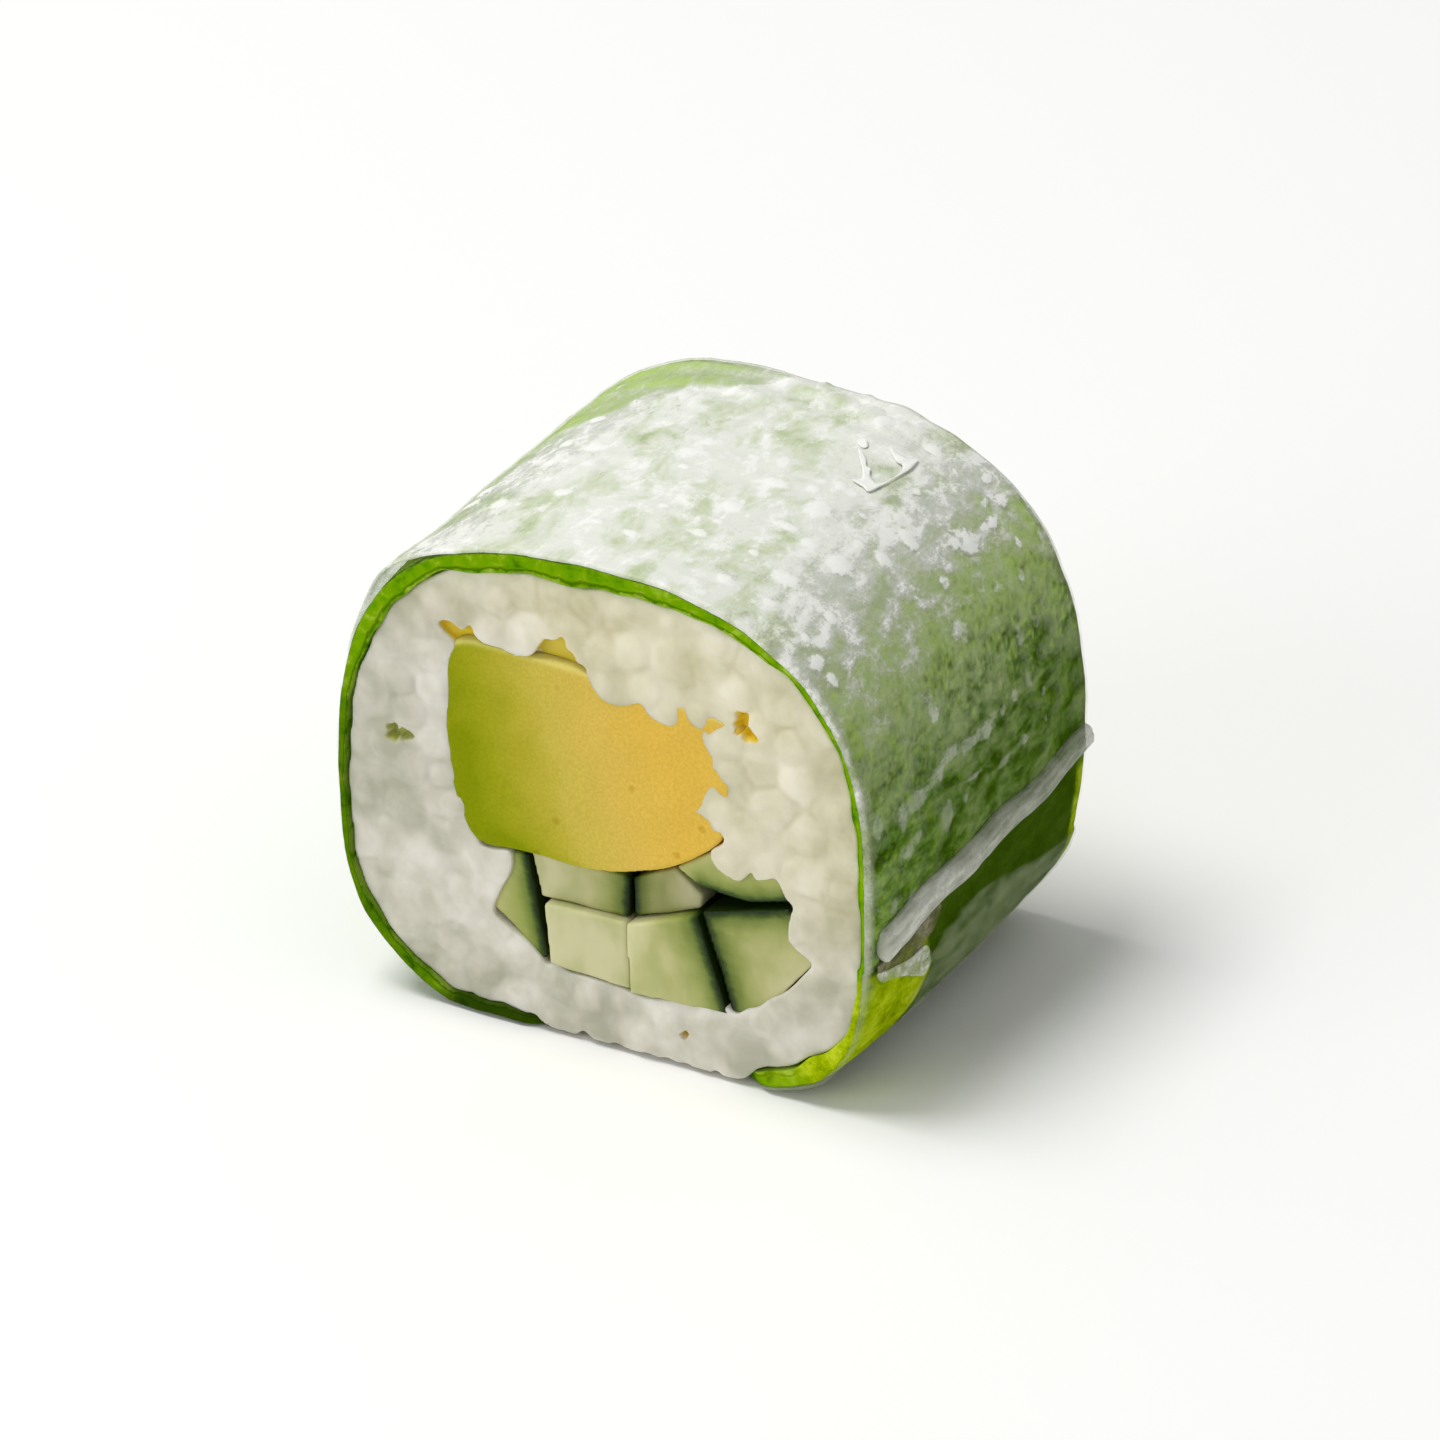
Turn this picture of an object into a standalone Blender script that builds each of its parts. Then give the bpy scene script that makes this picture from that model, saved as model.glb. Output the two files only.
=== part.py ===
"""A cut piece of a cucumber and avocado roll, wrapped in a green leaf and rice paper.

Metres, +Z up. The roll lies on its side: its axis runs along Y, between two knife cuts,
and the origin is under the middle of the roll, on the flat that it rests on.
Seen from the end at -Y, angles run anticlockwise from +X about the roll's axis.
"""

import bisect
import math
import random

import bmesh
import bpy
from mathutils import Euler, Matrix, Vector

MM = 0.001

# The roll's outer form, in millimetres
LENGTH = 26.8
HALF_WIDTH = 17.8
AXIS_HEIGHT = 14.5
RISE = 17.9
DROP = 14.7
SWELL = 0.3
AXIS_X = -0.32

# Squareness of the outline's four quarters, from the upper right one anticlockwise: 2 is an ellipse
SQUARENESS = (2.65, 2.75, 3.1, 4.2)

# The rice paper and its rolled edge, in millimetres, with the seam's angles at places along the roll
PAPER_THICKNESS = 0.35
BEAD_WIDTH = 2.3
BEAD_HEIGHT = 0.65
BEAD_END_SHARE = 0.4
BEAD_TAPER = 1.5
SEAM_ANGLES = ((-13.4, -13.5), (-4.0, -10.0), (13.4, -7.5))
SEAM_CLEARANCE = 4.0

# The leaf, in millimetres: its thickness at angles round the roll, and waves as (count, height)
LAYER_GAP = 0.2
LEAF_INSET = 0.12
LEAF_WAVES = ((7, 0.05), (19, 0.04))
LEAF_THICKNESS = (
    (0, 0.35),
    (45, 0.4),
    (72, 0.9),
    (98, 1.5),
    (125, 1.0),
    (146, 1.1),
    (172, 0.5),
    (205, 0.6),
    (238, 0.9),
    (255, 0.35),
    (295, 0.35),
    (318, 0.8),
    (335, 0.35),
)

# The rice, in millimetres: a core, and grains with their size, spacing, turns and how the knife left them
RICE_GAP = 0.22
CORE_INSET = 0.95
CORE_ROUGHNESS = 0.15
GRAIN_SIZE = (2.9, 2.3, 5.0)
GRAIN_SCALES = (0.85, 1.1)
GRAIN_SIDES = (6, 4)
GRAIN_TURNS = (0.4, 1.6, 0.3)
GRAIN_DEPTHS = (0.6, 0.9)
GRAIN_SHRINKS = (1.0, 0.9, 0.8, 0.7, 0.6, 0.5)
GRAIN_APART = 2.15
GRAIN_TRIES = 9000
WALL_ROOM = 0.8
WALL_MARGIN = 0.05
KNIFE_DEPTHS = (0.02, 0.4)
GRAIN_SEED = 11

# Hollows between the grains at the front cut: across from the axis, up from the base, and radius
PITS = ((-13.8, 17.6, 1.5), (8.8, 24.4, 1.5), (-3.5, 26.3, 1.5), (-10.1, 25.9, 1.1), (9.3, 16.4, 1.1))

# The fillings: how far each ends behind the cuts, and corners, across from the axis and up from the base
FILLING_GAP = 0.3
FILLING_BEVEL = 0.28
AVOCADO_INSET = 0.45
AVOCADO_OUTLINE = (
    (-10.1, 24.7),
    (-4.0, 25.0),
    (2.0, 24.5),
    (7.1, 23.8),
    (7.9, 20.5),
    (7.6, 17.1),
    (6.6, 15.0),
    (3.2, 12.8),
    (-0.8, 11.7),
    (-5.0, 11.75),
    (-8.3, 11.6),
    (-9.7, 13.3),
    (-10.4, 16.6),
    (-10.6, 20.7),
)
CUCUMBER_STICKS = (
    (0.7, ((-6.9, 11.0), (-7.8, 7.5), (-6.3, 6.4), (-4.5, 4.75), (-4.05, 4.9), (-4.7, 7.6), (-5.5, 11.05))),
    (0.9, ((-4.95, 11.2), (-4.4, 8.8), (1.25, 8.95), (1.3, 11.3))),
    (0.4, ((-4.0, 8.5), (-3.45, 4.75), (1.6, 4.5), (1.25, 8.65))),
    (0.3, ((1.6, 8.6), (1.95, 4.3), (8.15, 4.8), (6.05, 10.4))),
    (1.1, ((1.65, 11.35), (1.7, 9.0), (6.0, 10.75), (6.15, 11.35), (4.45, 12.8))),
    (0.6, ((6.5, 10.75), (8.55, 4.95), (10.1, 5.3), (13.3, 9.7), (11.75, 12.6))),
    (1.4, ((5.1, 12.95), (6.2, 12.55), (9.4, 12.45), (11.9, 13.2), (11.1, 14.6), (6.9, 14.5))),
)

# How finely the surfaces are faceted
COLUMNS = 84
COLUMN_DEGREES = 360 / COLUMNS
WRAP_ROWS = 5
CORE_ROWS = 3
BEAD_COLUMNS = 7
CURVE_STEPS = 3
EDGE_STEPS = 24
WELD = 0.01
SHARP_DEGREES = 40


def between(stations, value):
    """The height at value on the straight lines that join stations of (place, height)."""
    places = [place for place, _ in stations]
    if value <= places[0]:
        return stations[0][1]
    if value >= places[-1]:
        return stations[-1][1]
    i = bisect.bisect_right(places, value)
    (low, start), (high, end) = stations[i - 1], stations[i]
    return start + (end - start) * (value - low) / (high - low)


def eased_round(stations, degrees):
    """The height at an angle on smooth steps that join stations of (angle, height) in a ring."""
    first = stations[0]
    ring = [*stations, (first[0] + 360, first[1])]
    angle = (degrees - first[0]) % 360 + first[0]
    i = next(k for k in range(1, len(ring)) if angle <= ring[k][0])
    (low, start), (high, end) = ring[i - 1], ring[i]
    share = (angle - low) / (high - low)
    return start + (end - start) * share * share * (3 - 2 * share)


def evenly(low, high, count):
    return [low + (high - low) * i / (count - 1) for i in range(count)]


def ring_turns():
    """The angles at which every layer is sampled, so that their facets lie side by side."""
    return [COLUMN_DEGREES * i for i in range(COLUMNS)]


def polar(degrees, radius, y):
    """A point at an angle and a distance from the roll's axis, in millimetres."""
    angle = math.radians(degrees)
    return Vector((AXIS_X + radius * math.cos(angle), y, AXIS_HEIGHT + radius * math.sin(angle)))


def outline_radius(degrees):
    """How far the roll's outline is from its axis: a rounded square, each quarter as square as it says."""
    angle = math.radians(degrees)
    across, up = math.cos(angle), math.sin(angle)
    reach = RISE if up > 0 else DROP
    power = SQUARENESS[int(degrees % 360 // 90)]
    return (abs(across / HALF_WIDTH) ** power + abs(up / reach) ** power) ** (-1 / power)


def wall_radius(degrees, y, inset):
    """The radius of a layer that lies inset under the roll's surface, which swells between the cuts."""
    middle = 1 - (2 * y / LENGTH) ** 2
    return outline_radius(degrees) + SWELL * middle - inset


def wall_point(degrees, y, inset):
    """A point of that layer, flattened where the roll rests."""
    point = polar(degrees, wall_radius(degrees, y, inset), y)
    point.z = max(point.z, inset)
    return point * MM


def wall_grid(inset_at, end_inset, rows):
    """Rows of points round that layer, at an inset that is a function of the angle."""
    half = LENGTH / 2 - end_inset
    return [[wall_point(a, y, inset_at(a)) for a in ring_turns()] for y in evenly(-half, half, rows)]


def material(name, colour, roughness):
    made = bpy.data.materials.new(name)
    made.use_nodes = True
    shader = made.node_tree.nodes["Principled BSDF"]
    shader.inputs["Base Color"].default_value = (*colour, 1)
    shader.inputs["Roughness"].default_value = roughness
    return made


def add_object(name, bm, surface):
    """The finished mesh as an object of that name, smooth except at sharp corners."""
    bmesh.ops.recalc_face_normals(bm, faces=bm.faces)
    mesh = bpy.data.meshes.new(name)
    bm.to_mesh(mesh)
    bm.free()
    mesh.materials.append(surface)
    mesh.shade_smooth()
    mesh.set_sharp_from_angle(angle=math.radians(SHARP_DEGREES))
    made = bpy.data.objects.new(name, mesh)
    bpy.context.scene.collection.objects.link(made)
    return made


def tube(outer, inner):
    """A wall between two grids of points that run round the roll, both faces split into triangles alike."""
    bm = bmesh.new()
    rows = [[bm.verts.new(point) for point in row] for row in [*outer, *reversed(inner)]]
    for r, row in enumerate(rows):
        following = rows[(r + 1) % len(rows)]
        first_corner = 1 if r >= len(outer) else 0
        for c in range(len(row)):
            corners = [row[c], row[c - 1], following[c - 1], following[c]]
            bm.faces.new(corners[first_corner:] + corners[:first_corner])
    bmesh.ops.triangulate(bm, faces=bm.faces, quad_method="FIXED")
    return bm


def smooth_loop(points, steps):
    """A closed curve through the points (Catmull-Rom), as a list of points."""
    count = len(points)
    loop = []
    for i in range(count):
        a, b, c, d = (Vector(points[(i + k) % count]) for k in (-1, 0, 1, 2))
        bend = 2 * a - 5 * b + 4 * c - d
        twist = 3 * b - a - 3 * c + d
        for t in (step / steps for step in range(steps)):
            loop.append(b + (t * (c - a) + t**2 * bend + t**3 * twist) / 2)
    return loop


def prism(name, loop, inset, surface):
    """A filling that runs through the roll: its outline, extruded from near one cut to near the other."""
    half = LENGTH / 2 - inset
    bm = bmesh.new()
    end = bm.faces.new([bm.verts.new(Vector((x + AXIS_X, -half, z)) * MM) for x, z in loop])
    grown = bmesh.ops.extrude_face_region(bm, geom=[end])
    moved = [item for item in grown["geom"] if isinstance(item, bmesh.types.BMVert)]
    bmesh.ops.translate(bm, verts=moved, vec=Vector((0, 2 * half * MM, 0)))
    bmesh.ops.bevel(bm, geom=bm.edges[:], offset=FILLING_BEVEL * MM, segments=1, affect="EDGES")
    bmesh.ops.remove_doubles(bm, verts=bm.verts, dist=WELD * MM)
    return add_object(name, bm, surface)


def bead_profile(y):
    """The bead's rounded profile at y, as (share of its width, height). It sinks towards the cuts."""
    from_cut = min(1, (LENGTH / 2 - abs(y)) / BEAD_TAPER)
    height = BEAD_HEIGHT * (BEAD_END_SHARE + (1 - BEAD_END_SHARE) * from_cut)
    return [(share, height * math.sqrt(1 - (2 * share - 1) ** 2)) for share in evenly(0, 1, BEAD_COLUMNS)]


def rice_paper():
    """The sheet that wraps the roll, with its rolled edge as a bead along the right side."""
    bead = math.degrees(BEAD_WIDTH / HALF_WIDTH)
    seams = [seam for _, seam in SEAM_ANGLES]
    low, high = min(seams) - SEAM_CLEARANCE, max(seams) + bead + SEAM_CLEARANCE
    plain = [(a, 0) for a in ring_turns() if high < a < 360 + low]
    full = LENGTH / 2 - BEAD_TAPER
    outer, inner = [], []
    for y in (-LENGTH / 2, *evenly(-full, full, WRAP_ROWS), LENGTH / 2):
        seam = between(SEAM_ANGLES, y)
        ring = [(seam + bead * share, lift) for share, lift in bead_profile(y)] + plain
        outer.append([wall_point(a, y, -lift) for a, lift in ring])
        inner.append([wall_point(a, y, PAPER_THICKNESS) for a, _ in ring])
    add_object("rice_paper", tube(outer, inner), material("rice_paper_film", (0.80, 0.84, 0.76), 0.35))


def leaf_outer_inset(_):
    return PAPER_THICKNESS + LAYER_GAP


def leaf_inner_inset(degrees):
    waves = sum(height * math.sin(count * math.radians(degrees)) for count, height in LEAF_WAVES)
    return leaf_outer_inset(degrees) + eased_round(LEAF_THICKNESS, degrees) + waves


def leaf():
    """The green leaf, a wavy tube that is thick where its rib and folds lie."""
    outer = wall_grid(leaf_outer_inset, LEAF_INSET, WRAP_ROWS)
    inner = wall_grid(leaf_inner_inset, LEAF_INSET, WRAP_ROWS)
    add_object("lettuce_leaf", tube(outer, inner), material("green_leaf", (0.16, 0.34, 0.03), 0.4))


def avocado(loop):
    """A wedge of avocado: straight where the knife cut it and round where its skin was."""
    prism("avocado_wedge", loop, AVOCADO_INSET, material("avocado_flesh", (0.72, 0.55, 0.12), 0.4))


def cucumber_sticks():
    flesh = material("cucumber_flesh", (0.48, 0.53, 0.24), 0.3)
    for number, (inset, corners) in enumerate(CUCUMBER_STICKS, 1):
        prism(f"cucumber_stick_{number}", corners, inset, flesh)


def filling_reach(loops, degrees):
    """How far from the axis the fillings reach near an angle."""
    reach = 0
    for loop in loops:
        corners = [Vector((x, z - AXIS_HEIGHT)) for x, z in loop]
        for a, b in zip(corners, corners[1:] + corners[:1]):
            for point in (a.lerp(b, step / EDGE_STEPS) for step in range(EDGE_STEPS)):
                turn = math.degrees(math.atan2(point.y, point.x)) - degrees
                if abs((turn + 180) % 360 - 180) <= 0.6 * COLUMN_DEGREES:
                    reach = max(reach, point.length)
    return reach


class RiceRing:
    """The space that the rice fills, between the leaf and the fillings, seen round the roll's axis."""

    def __init__(self, loops):
        self.hole = [filling_reach(loops, a) + FILLING_GAP for a in ring_turns()]

    def inner_radius(self, degrees):
        column, share = divmod(degrees % 360 / COLUMN_DEGREES, 1)
        i = int(column) % COLUMNS
        return self.hole[i] * (1 - share) + self.hole[(i + 1) % COLUMNS] * share

    def outer_inset(self, degrees):
        return leaf_inner_inset(degrees) + RICE_GAP

    def holds(self, across, height, room):
        """Whether a place across the roll is in the ring, with that much room to spare."""
        up = height - AXIS_HEIGHT
        degrees = math.degrees(math.atan2(up, across))
        inset = self.outer_inset(degrees) + room
        outer = wall_radius(degrees, LENGTH / 2, inset)
        return self.inner_radius(degrees) + room < math.hypot(across, up) < outer and height > inset


def rice_core(ring, draw):
    """The packed rice under the grains that show: a tube with uneven ends."""
    half = LENGTH / 2 - CORE_INSET
    outer, inner = [], []
    for y in evenly(-half, half, CORE_ROWS):
        rough = CORE_ROUGHNESS * abs(y) / half
        depths = [y + draw.uniform(-rough, rough) for _ in range(2 * COLUMNS)]
        outer.append([wall_point(a, depths.pop(), ring.outer_inset(a)) for a in ring_turns()])
        inner.append([polar(a, radius, depths.pop()) * MM for a, radius in zip(ring_turns(), ring.hole)])
    return add_object("sushi_rice", tube(outer, inner), material("cooked_rice", (0.75, 0.73, 0.62), 0.45))


def grain_places(ring, end, draw):
    """Places across a cut face for the grains, strewn evenly where the ring holds them."""
    pits = PITS if end < 0 else ()
    places = []
    for _ in range(GRAIN_TRIES):
        x, z = draw.uniform(-HALF_WIDTH, HALF_WIDTH), draw.uniform(0, AXIS_HEIGHT + RISE)
        clear = all(math.hypot(x - px, z - pz) > GRAIN_APART for px, pz in places)
        in_pit = any(math.hypot(x - px, z - pz) < radius for px, pz, radius in pits)
        if clear and not in_pit and ring.holds(x, z, WALL_ROOM):
            places.append((x, z))
    return places


def add_grain(ring, place, end, draw, collection):
    """A grain of rice at a cut face, sliced by the knife. If it would leave the ring it is shrunk or skipped."""
    bm = bmesh.new()
    bmesh.ops.create_uvsphere(bm, u_segments=GRAIN_SIDES[0], v_segments=GRAIN_SIDES[1], radius=0.5)
    turn = Euler([draw.uniform(-most, most) for most in GRAIN_TURNS]).to_matrix()
    shape = turn @ Matrix.Diagonal(Vector(GRAIN_SIZE) * draw.uniform(*GRAIN_SCALES))
    cut = LENGTH / 2 - draw.uniform(*KNIFE_DEPTHS)
    centre = Vector((place[0] + AXIS_X, end * (cut - draw.uniform(*GRAIN_DEPTHS)), place[1]))
    for share in GRAIN_SHRINKS:
        points = [centre + shape @ vert.co * share for vert in bm.verts]
        if all(ring.holds(point.x - AXIS_X, point.z, WALL_MARGIN) for point in points):
            break
    else:
        bm.free()
        return
    for vert, point in zip(bm.verts, points):
        point.y = end * min(end * point.y, cut)
        vert.co = point * MM
    bmesh.ops.recalc_face_normals(bm, faces=bm.faces)
    mesh = bpy.data.meshes.new("grain")
    bm.to_mesh(mesh)
    bm.free()
    collection.objects.link(bpy.data.objects.new("grain", mesh))


def keep_largest(mesh):
    """Fills the hollows that the grains seal and drops loose scraps: only the largest skin stays."""
    bm = bmesh.new()
    bm.from_mesh(mesh)
    left = set(bm.faces)
    skins = []
    while left:
        skin = {left.pop()}
        rim = skin
        while rim:
            shared = {edge for face in rim for edge in face.edges if len(edge.link_faces) == 2}
            rim = {face for edge in shared for face in edge.link_faces} & left
            left -= rim
            skin |= rim
        skins.append(skin)
    skins.sort(key=len)
    bmesh.ops.delete(bm, geom=[face for skin in skins[:-1] for face in skin], context="FACES")
    bm.to_mesh(mesh)
    bm.free()


def rice(ring):
    """The bed of rice, with the grains that show at each cut fused on."""
    draw = random.Random(GRAIN_SEED)
    core = rice_core(ring, draw)
    grains = bpy.data.collections.new("grains")
    bpy.context.scene.collection.children.link(grains)
    for end in (-1, 1):
        for place in grain_places(ring, end, draw):
            add_grain(ring, place, end, draw, grains)
    union = core.modifiers.new("grains", "BOOLEAN")
    union.operation = "UNION"
    union.operand_type = "COLLECTION"
    union.collection = grains
    union.solver = "EXACT"
    with bpy.context.temp_override(object=core, active_object=core, selected_objects=[core]):
        bpy.ops.object.modifier_apply(modifier=union.name)
    keep_largest(core.data)
    for made in list(grains.objects):
        bpy.data.objects.remove(made)
    bpy.data.collections.remove(grains)


def main():
    for old in list(bpy.data.objects):
        bpy.data.objects.remove(old)
    avocado_loop = smooth_loop(AVOCADO_OUTLINE, CURVE_STEPS)
    ring = RiceRing([avocado_loop, *(corners for _, corners in CUCUMBER_STICKS)])
    rice_paper()
    leaf()
    avocado(avocado_loop)
    cucumber_sticks()
    rice(ring)


main()
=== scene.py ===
"""The looks of a cut cucumber and avocado roll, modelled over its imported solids.

Comments and tables give sizes in millimetres, and angles in degrees anticlockwise from +X about the roll's
axis, seen from the cut face at -Y. Properties and meshes are in metres.
"""

import math
import random

import bpy
import numpy as np
from mathutils import Matrix, Vector, noise


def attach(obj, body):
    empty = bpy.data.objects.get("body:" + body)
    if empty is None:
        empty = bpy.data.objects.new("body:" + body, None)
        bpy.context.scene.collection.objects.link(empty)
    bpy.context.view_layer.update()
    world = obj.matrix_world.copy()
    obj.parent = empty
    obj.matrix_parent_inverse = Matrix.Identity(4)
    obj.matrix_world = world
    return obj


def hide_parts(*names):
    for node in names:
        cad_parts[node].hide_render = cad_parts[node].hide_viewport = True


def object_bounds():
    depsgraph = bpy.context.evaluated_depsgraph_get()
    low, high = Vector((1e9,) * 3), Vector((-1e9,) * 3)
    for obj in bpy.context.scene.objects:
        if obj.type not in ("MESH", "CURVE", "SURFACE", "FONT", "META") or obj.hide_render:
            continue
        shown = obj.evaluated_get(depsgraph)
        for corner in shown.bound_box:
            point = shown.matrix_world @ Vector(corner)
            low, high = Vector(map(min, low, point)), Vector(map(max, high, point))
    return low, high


bl_info = {
    "name": "Cucumber avocado roll",
    "version": (1, 0, 0),
    "blender": (4, 5, 0),
    "location": "3D View > Sidebar > Roll",
    "description": "Models a cut piece of a rice-paper roll with avocado and cucumber",
    "category": "Add Mesh",
}

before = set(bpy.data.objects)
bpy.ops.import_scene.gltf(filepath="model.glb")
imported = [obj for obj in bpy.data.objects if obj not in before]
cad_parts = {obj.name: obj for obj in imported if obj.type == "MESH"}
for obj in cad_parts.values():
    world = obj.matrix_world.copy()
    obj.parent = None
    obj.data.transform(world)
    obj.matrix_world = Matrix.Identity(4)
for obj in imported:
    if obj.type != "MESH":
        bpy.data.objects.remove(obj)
CAD_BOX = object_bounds()

MM = 0.001

# The roll's outer form, and how far the cuts are from its middle
LENGTH = (CAD_BOX[1][1] - CAD_BOX[0][1]) / MM
CUT = LENGTH / 2
HALF_WIDTH = 17.8
AXIS_X = -0.32
AXIS_HEIGHT = 14.5
RISE = 17.9
DROP = 14.7
SWELL = 0.3
SQUARENESS = (2.65, 2.75, 3.1, 4.2)

# The camera's turn from the front, its height angle, and where it aims: this high on the roll's middle line,
# and this far right and up in the picture
CAMERA_TURN = math.radians(28.5)
CAMERA_TILT = math.radians(29.5)
AIM_HEIGHT = 16.0
AIM_RIGHT = 0.3757
AIM_UP = -0.188

# The film's thickness, and round the roll that of its swollen edge at the cut and of the leaf, as
# (angle, thickness)
FILM_THICKNESS = 0.07
FILM_EDGE = (
    (0, 0.5), (50, 0.4), (75, 0.24), (120, 0.18), (150, 0.08), (250, 0.08), (290, 0.1), (320, 0.2),
    (345, 0.36), (360, 0.5),
)
LEAF_THICKNESS = (
    (0, 0.28), (30, 0.34), (50, 0.5), (72, 0.95), (98, 1.5), (112, 1.25), (125, 1.0), (146, 1.15),
    (160, 0.62), (172, 0.4), (205, 0.5), (238, 0.85), (250, 0.6), (262, 0.35), (300, 0.4),
    (309, 1.1), (320, 1.3), (330, 0.5), (340, 0.32), (360, 0.28),
)

# The fillings' corners, across from the axis and up from the base
AVOCADO_OUTLINE = (
    (-10.1, 24.7), (-4.0, 25.1), (2.0, 24.7), (8.3, 24.2), (9.2, 23.0), (8.6, 20.5), (8.2, 17.1), (6.9, 15.0),
    (3.2, 12.8), (-0.8, 11.7), (-5.0, 11.75), (-8.3, 11.6), (-9.7, 13.3), (-10.4, 16.6), (-10.6, 20.7),
)

# Each stick: how far its end is behind the cut, its corners, the first corners of its sides with skin, how
# bright its flesh is, and how far in its skin's green reaches
CUCUMBER_STICKS = (
    (
        0.7,
        ((-6.9, 11.3), (-7.9, 7.5), (-6.3, 6.3), (-4.5, 4.6), (-3.95, 4.8), (-4.55, 7.6), (-5.35, 11.4)),
        (4, 5), 1.22, 5.0,
    ),
    (0.9, ((-5.2, 11.7), (-4.45, 8.72), (1.42, 8.87), (1.47, 11.7)), (2,), 0.96, 5.0),
    (0.35, ((-4.1, 8.66), (-3.6, 4.6), (1.8, 4.35), (1.5, 8.8)), (), 0.98, 5.0),
    (0.3, ((1.54, 8.8), (1.84, 4.15), (8.35, 4.55), (6.3, 10.6)), (2,), 1.06, 6.0),
    (1.1, ((1.62, 11.6), (1.68, 8.92), (6.15, 10.75), (6.25, 11.6), (4.4, 13.0)), (0,), 0.78, 5.0),
    (0.6, ((6.5, 10.85), (8.5, 4.7), (10.4, 4.85), (14.1, 9.6), (12.2, 12.6)), (0, 4), 1.02, 6.0),
    (0.9, ((4.6, 13.2), (6.2, 12.3), (9.4, 12.1), (12.1, 12.9), (11.2, 15.0), (6.9, 14.9)), (1, 2), 1.2, 5.0),
)
# All the sticks' room
STICK_ROOM = (
    (-7.0, 12.0), (-8.1, 7.5), (-6.4, 6.1), (-4.5, 4.4), (-3.7, 4.4), (1.8, 4.1), (8.4, 4.35), (10.5, 4.7),
    (14.2, 9.5), (12.5, 13.2), (11.3, 15.1), (6.8, 15.0), (0.0, 13.0),
)

# The uneven opening that the rice leaves at the front cut, as pixels picked on an enlarged crop of the
# photograph: the crop's corner, its enlargement, the photograph's middle and its scale at the cut
CROP_CORNER = (420, 580)
CROP_SCALE = 2.6
PHOTO_MIDDLE = 720
PIXELS_PER_MM = 16.94
OPENING_PIXELS = (
    (75, 215), (90, 180), (60, 150), (38, 120), (70, 118), (100, 140), (125, 128), (135, 155),
    (165, 178), (205, 190), (245, 208), (285, 205), (300, 185), (318, 165), (345, 170), (365, 158),
    (372, 186), (392, 205), (400, 225), (424, 240), (425, 262), (440, 285), (465, 318), (500, 335),
    (530, 338), (568, 330), (580, 352), (604, 377), (640, 395), (680, 400), (718, 397), (726, 422),
    (735, 450), (752, 478), (750, 495), (765, 515), (745, 545), (728, 570), (722, 595), (705, 610),
    (722, 618), (745, 640), (748, 655), (762, 662), (780, 674), (775, 695), (758, 702), (745, 714),
    (750, 737), (765, 760), (785, 777), (820, 790), (850, 768), (860, 786), (885, 788), (912, 782),
    (926, 805), (936, 832), (958, 858), (948, 880), (945, 930), (957, 957), (988, 985), (1007, 1006),
    (986, 1034), (940, 1076), (900, 1095), (868, 1118), (840, 1122), (810, 1137), (780, 1112), (700, 1104),
    (600, 1100), (550, 1084), (500, 1064), (420, 1040), (375, 1026), (345, 1005), (320, 1013), (300, 988),
    (270, 952), (230, 922), (192, 892), (178, 865), (198, 815), (220, 775), (230, 742), (222, 714),
    (185, 708), (150, 698), (142, 672), (120, 632), (100, 560), (82, 480), (70, 400), (70, 300),
)

# Hollows between the grains, and depths seen at the opening's edge: across, up, radius and how amber they are
# the rice in the hollows and depths is painted olive and amber: painted shade, and painted light that comes
# through the avocado
FRONT_PITS = ((-13.8, 17.6, 0.62, 0.1), (9.4, 24.2, 0.72, 0.95), (5.4, 2.2, 0.24, 0.9))
FRONT_DEPTHS = ((-3.0, 26.0, 1.6, 0.62), (-10.0, 25.6, 1.3, 0.8), (7.9, 16.0, 0.9, 1.0))
BACK_PITS = ((-13.2, 9.5, 0.6, 0.2), (2.0, 27.6, 0.7, 0.4))

# The rolled edge of the film on the right: angles of its lower side at places along the roll
SEAM_PLACES = (-13.4, -4.0, 13.4)
SEAM_ANGLES = (-14.2, -11.2, -7.8)

# The edge of the film's inner layer, which ends below the seam: places along the roll and heights
LOWER_EDGE_PLACES = (-13.4, -9.5, -7.3, -4.4, 0.0, 3.9, 9.1, 13.4)
LOWER_EDGE_HEIGHTS = (2.0, 3.0, 6.0, 8.0, 8.9, 8.4, 6.9, 6.4)

# How much of the leaf the film hides round the roll at the front cut and at the back one, and how patchily
# painted highlight: the film is painted whitest on the top, partly for its milkiness and partly for the sheen
# of the light from above
HAZE_ANGLES = (-90, -45, -5, 10, 20, 30, 38, 44, 51, 62, 75, 95, 115, 128, 142, 160, 180, 230, 270)
HAZE_AND_SHEEN_FRONT = (
    0.12, 0.1, 0.04, 0.08, 0.18, 0.36, 0.56, 0.76, 0.95, 1.03, 1.06, 1.07, 1.05, 0.97, 0.6, 0.2, 0.08,
    0.08, 0.12,
)
HAZE_AND_SHEEN_BACK = (
    0.12, 0.1, 0.05, 0.06, 0.12, 0.24, 0.44, 0.68, 0.9, 1.02, 1.06, 1.05, 0.98, 0.66, 0.38, 0.14, 0.08,
    0.1, 0.12,
)
PATCHES = (
    0.06, 0.06, 0.1, 0.14, 0.18, 0.26, 0.34, 0.32, 0.18, 0.08, 0.06, 0.06, 0.07, 0.16, 0.26, 0.16, 0.1,
    0.06, 0.06,
)

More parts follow.
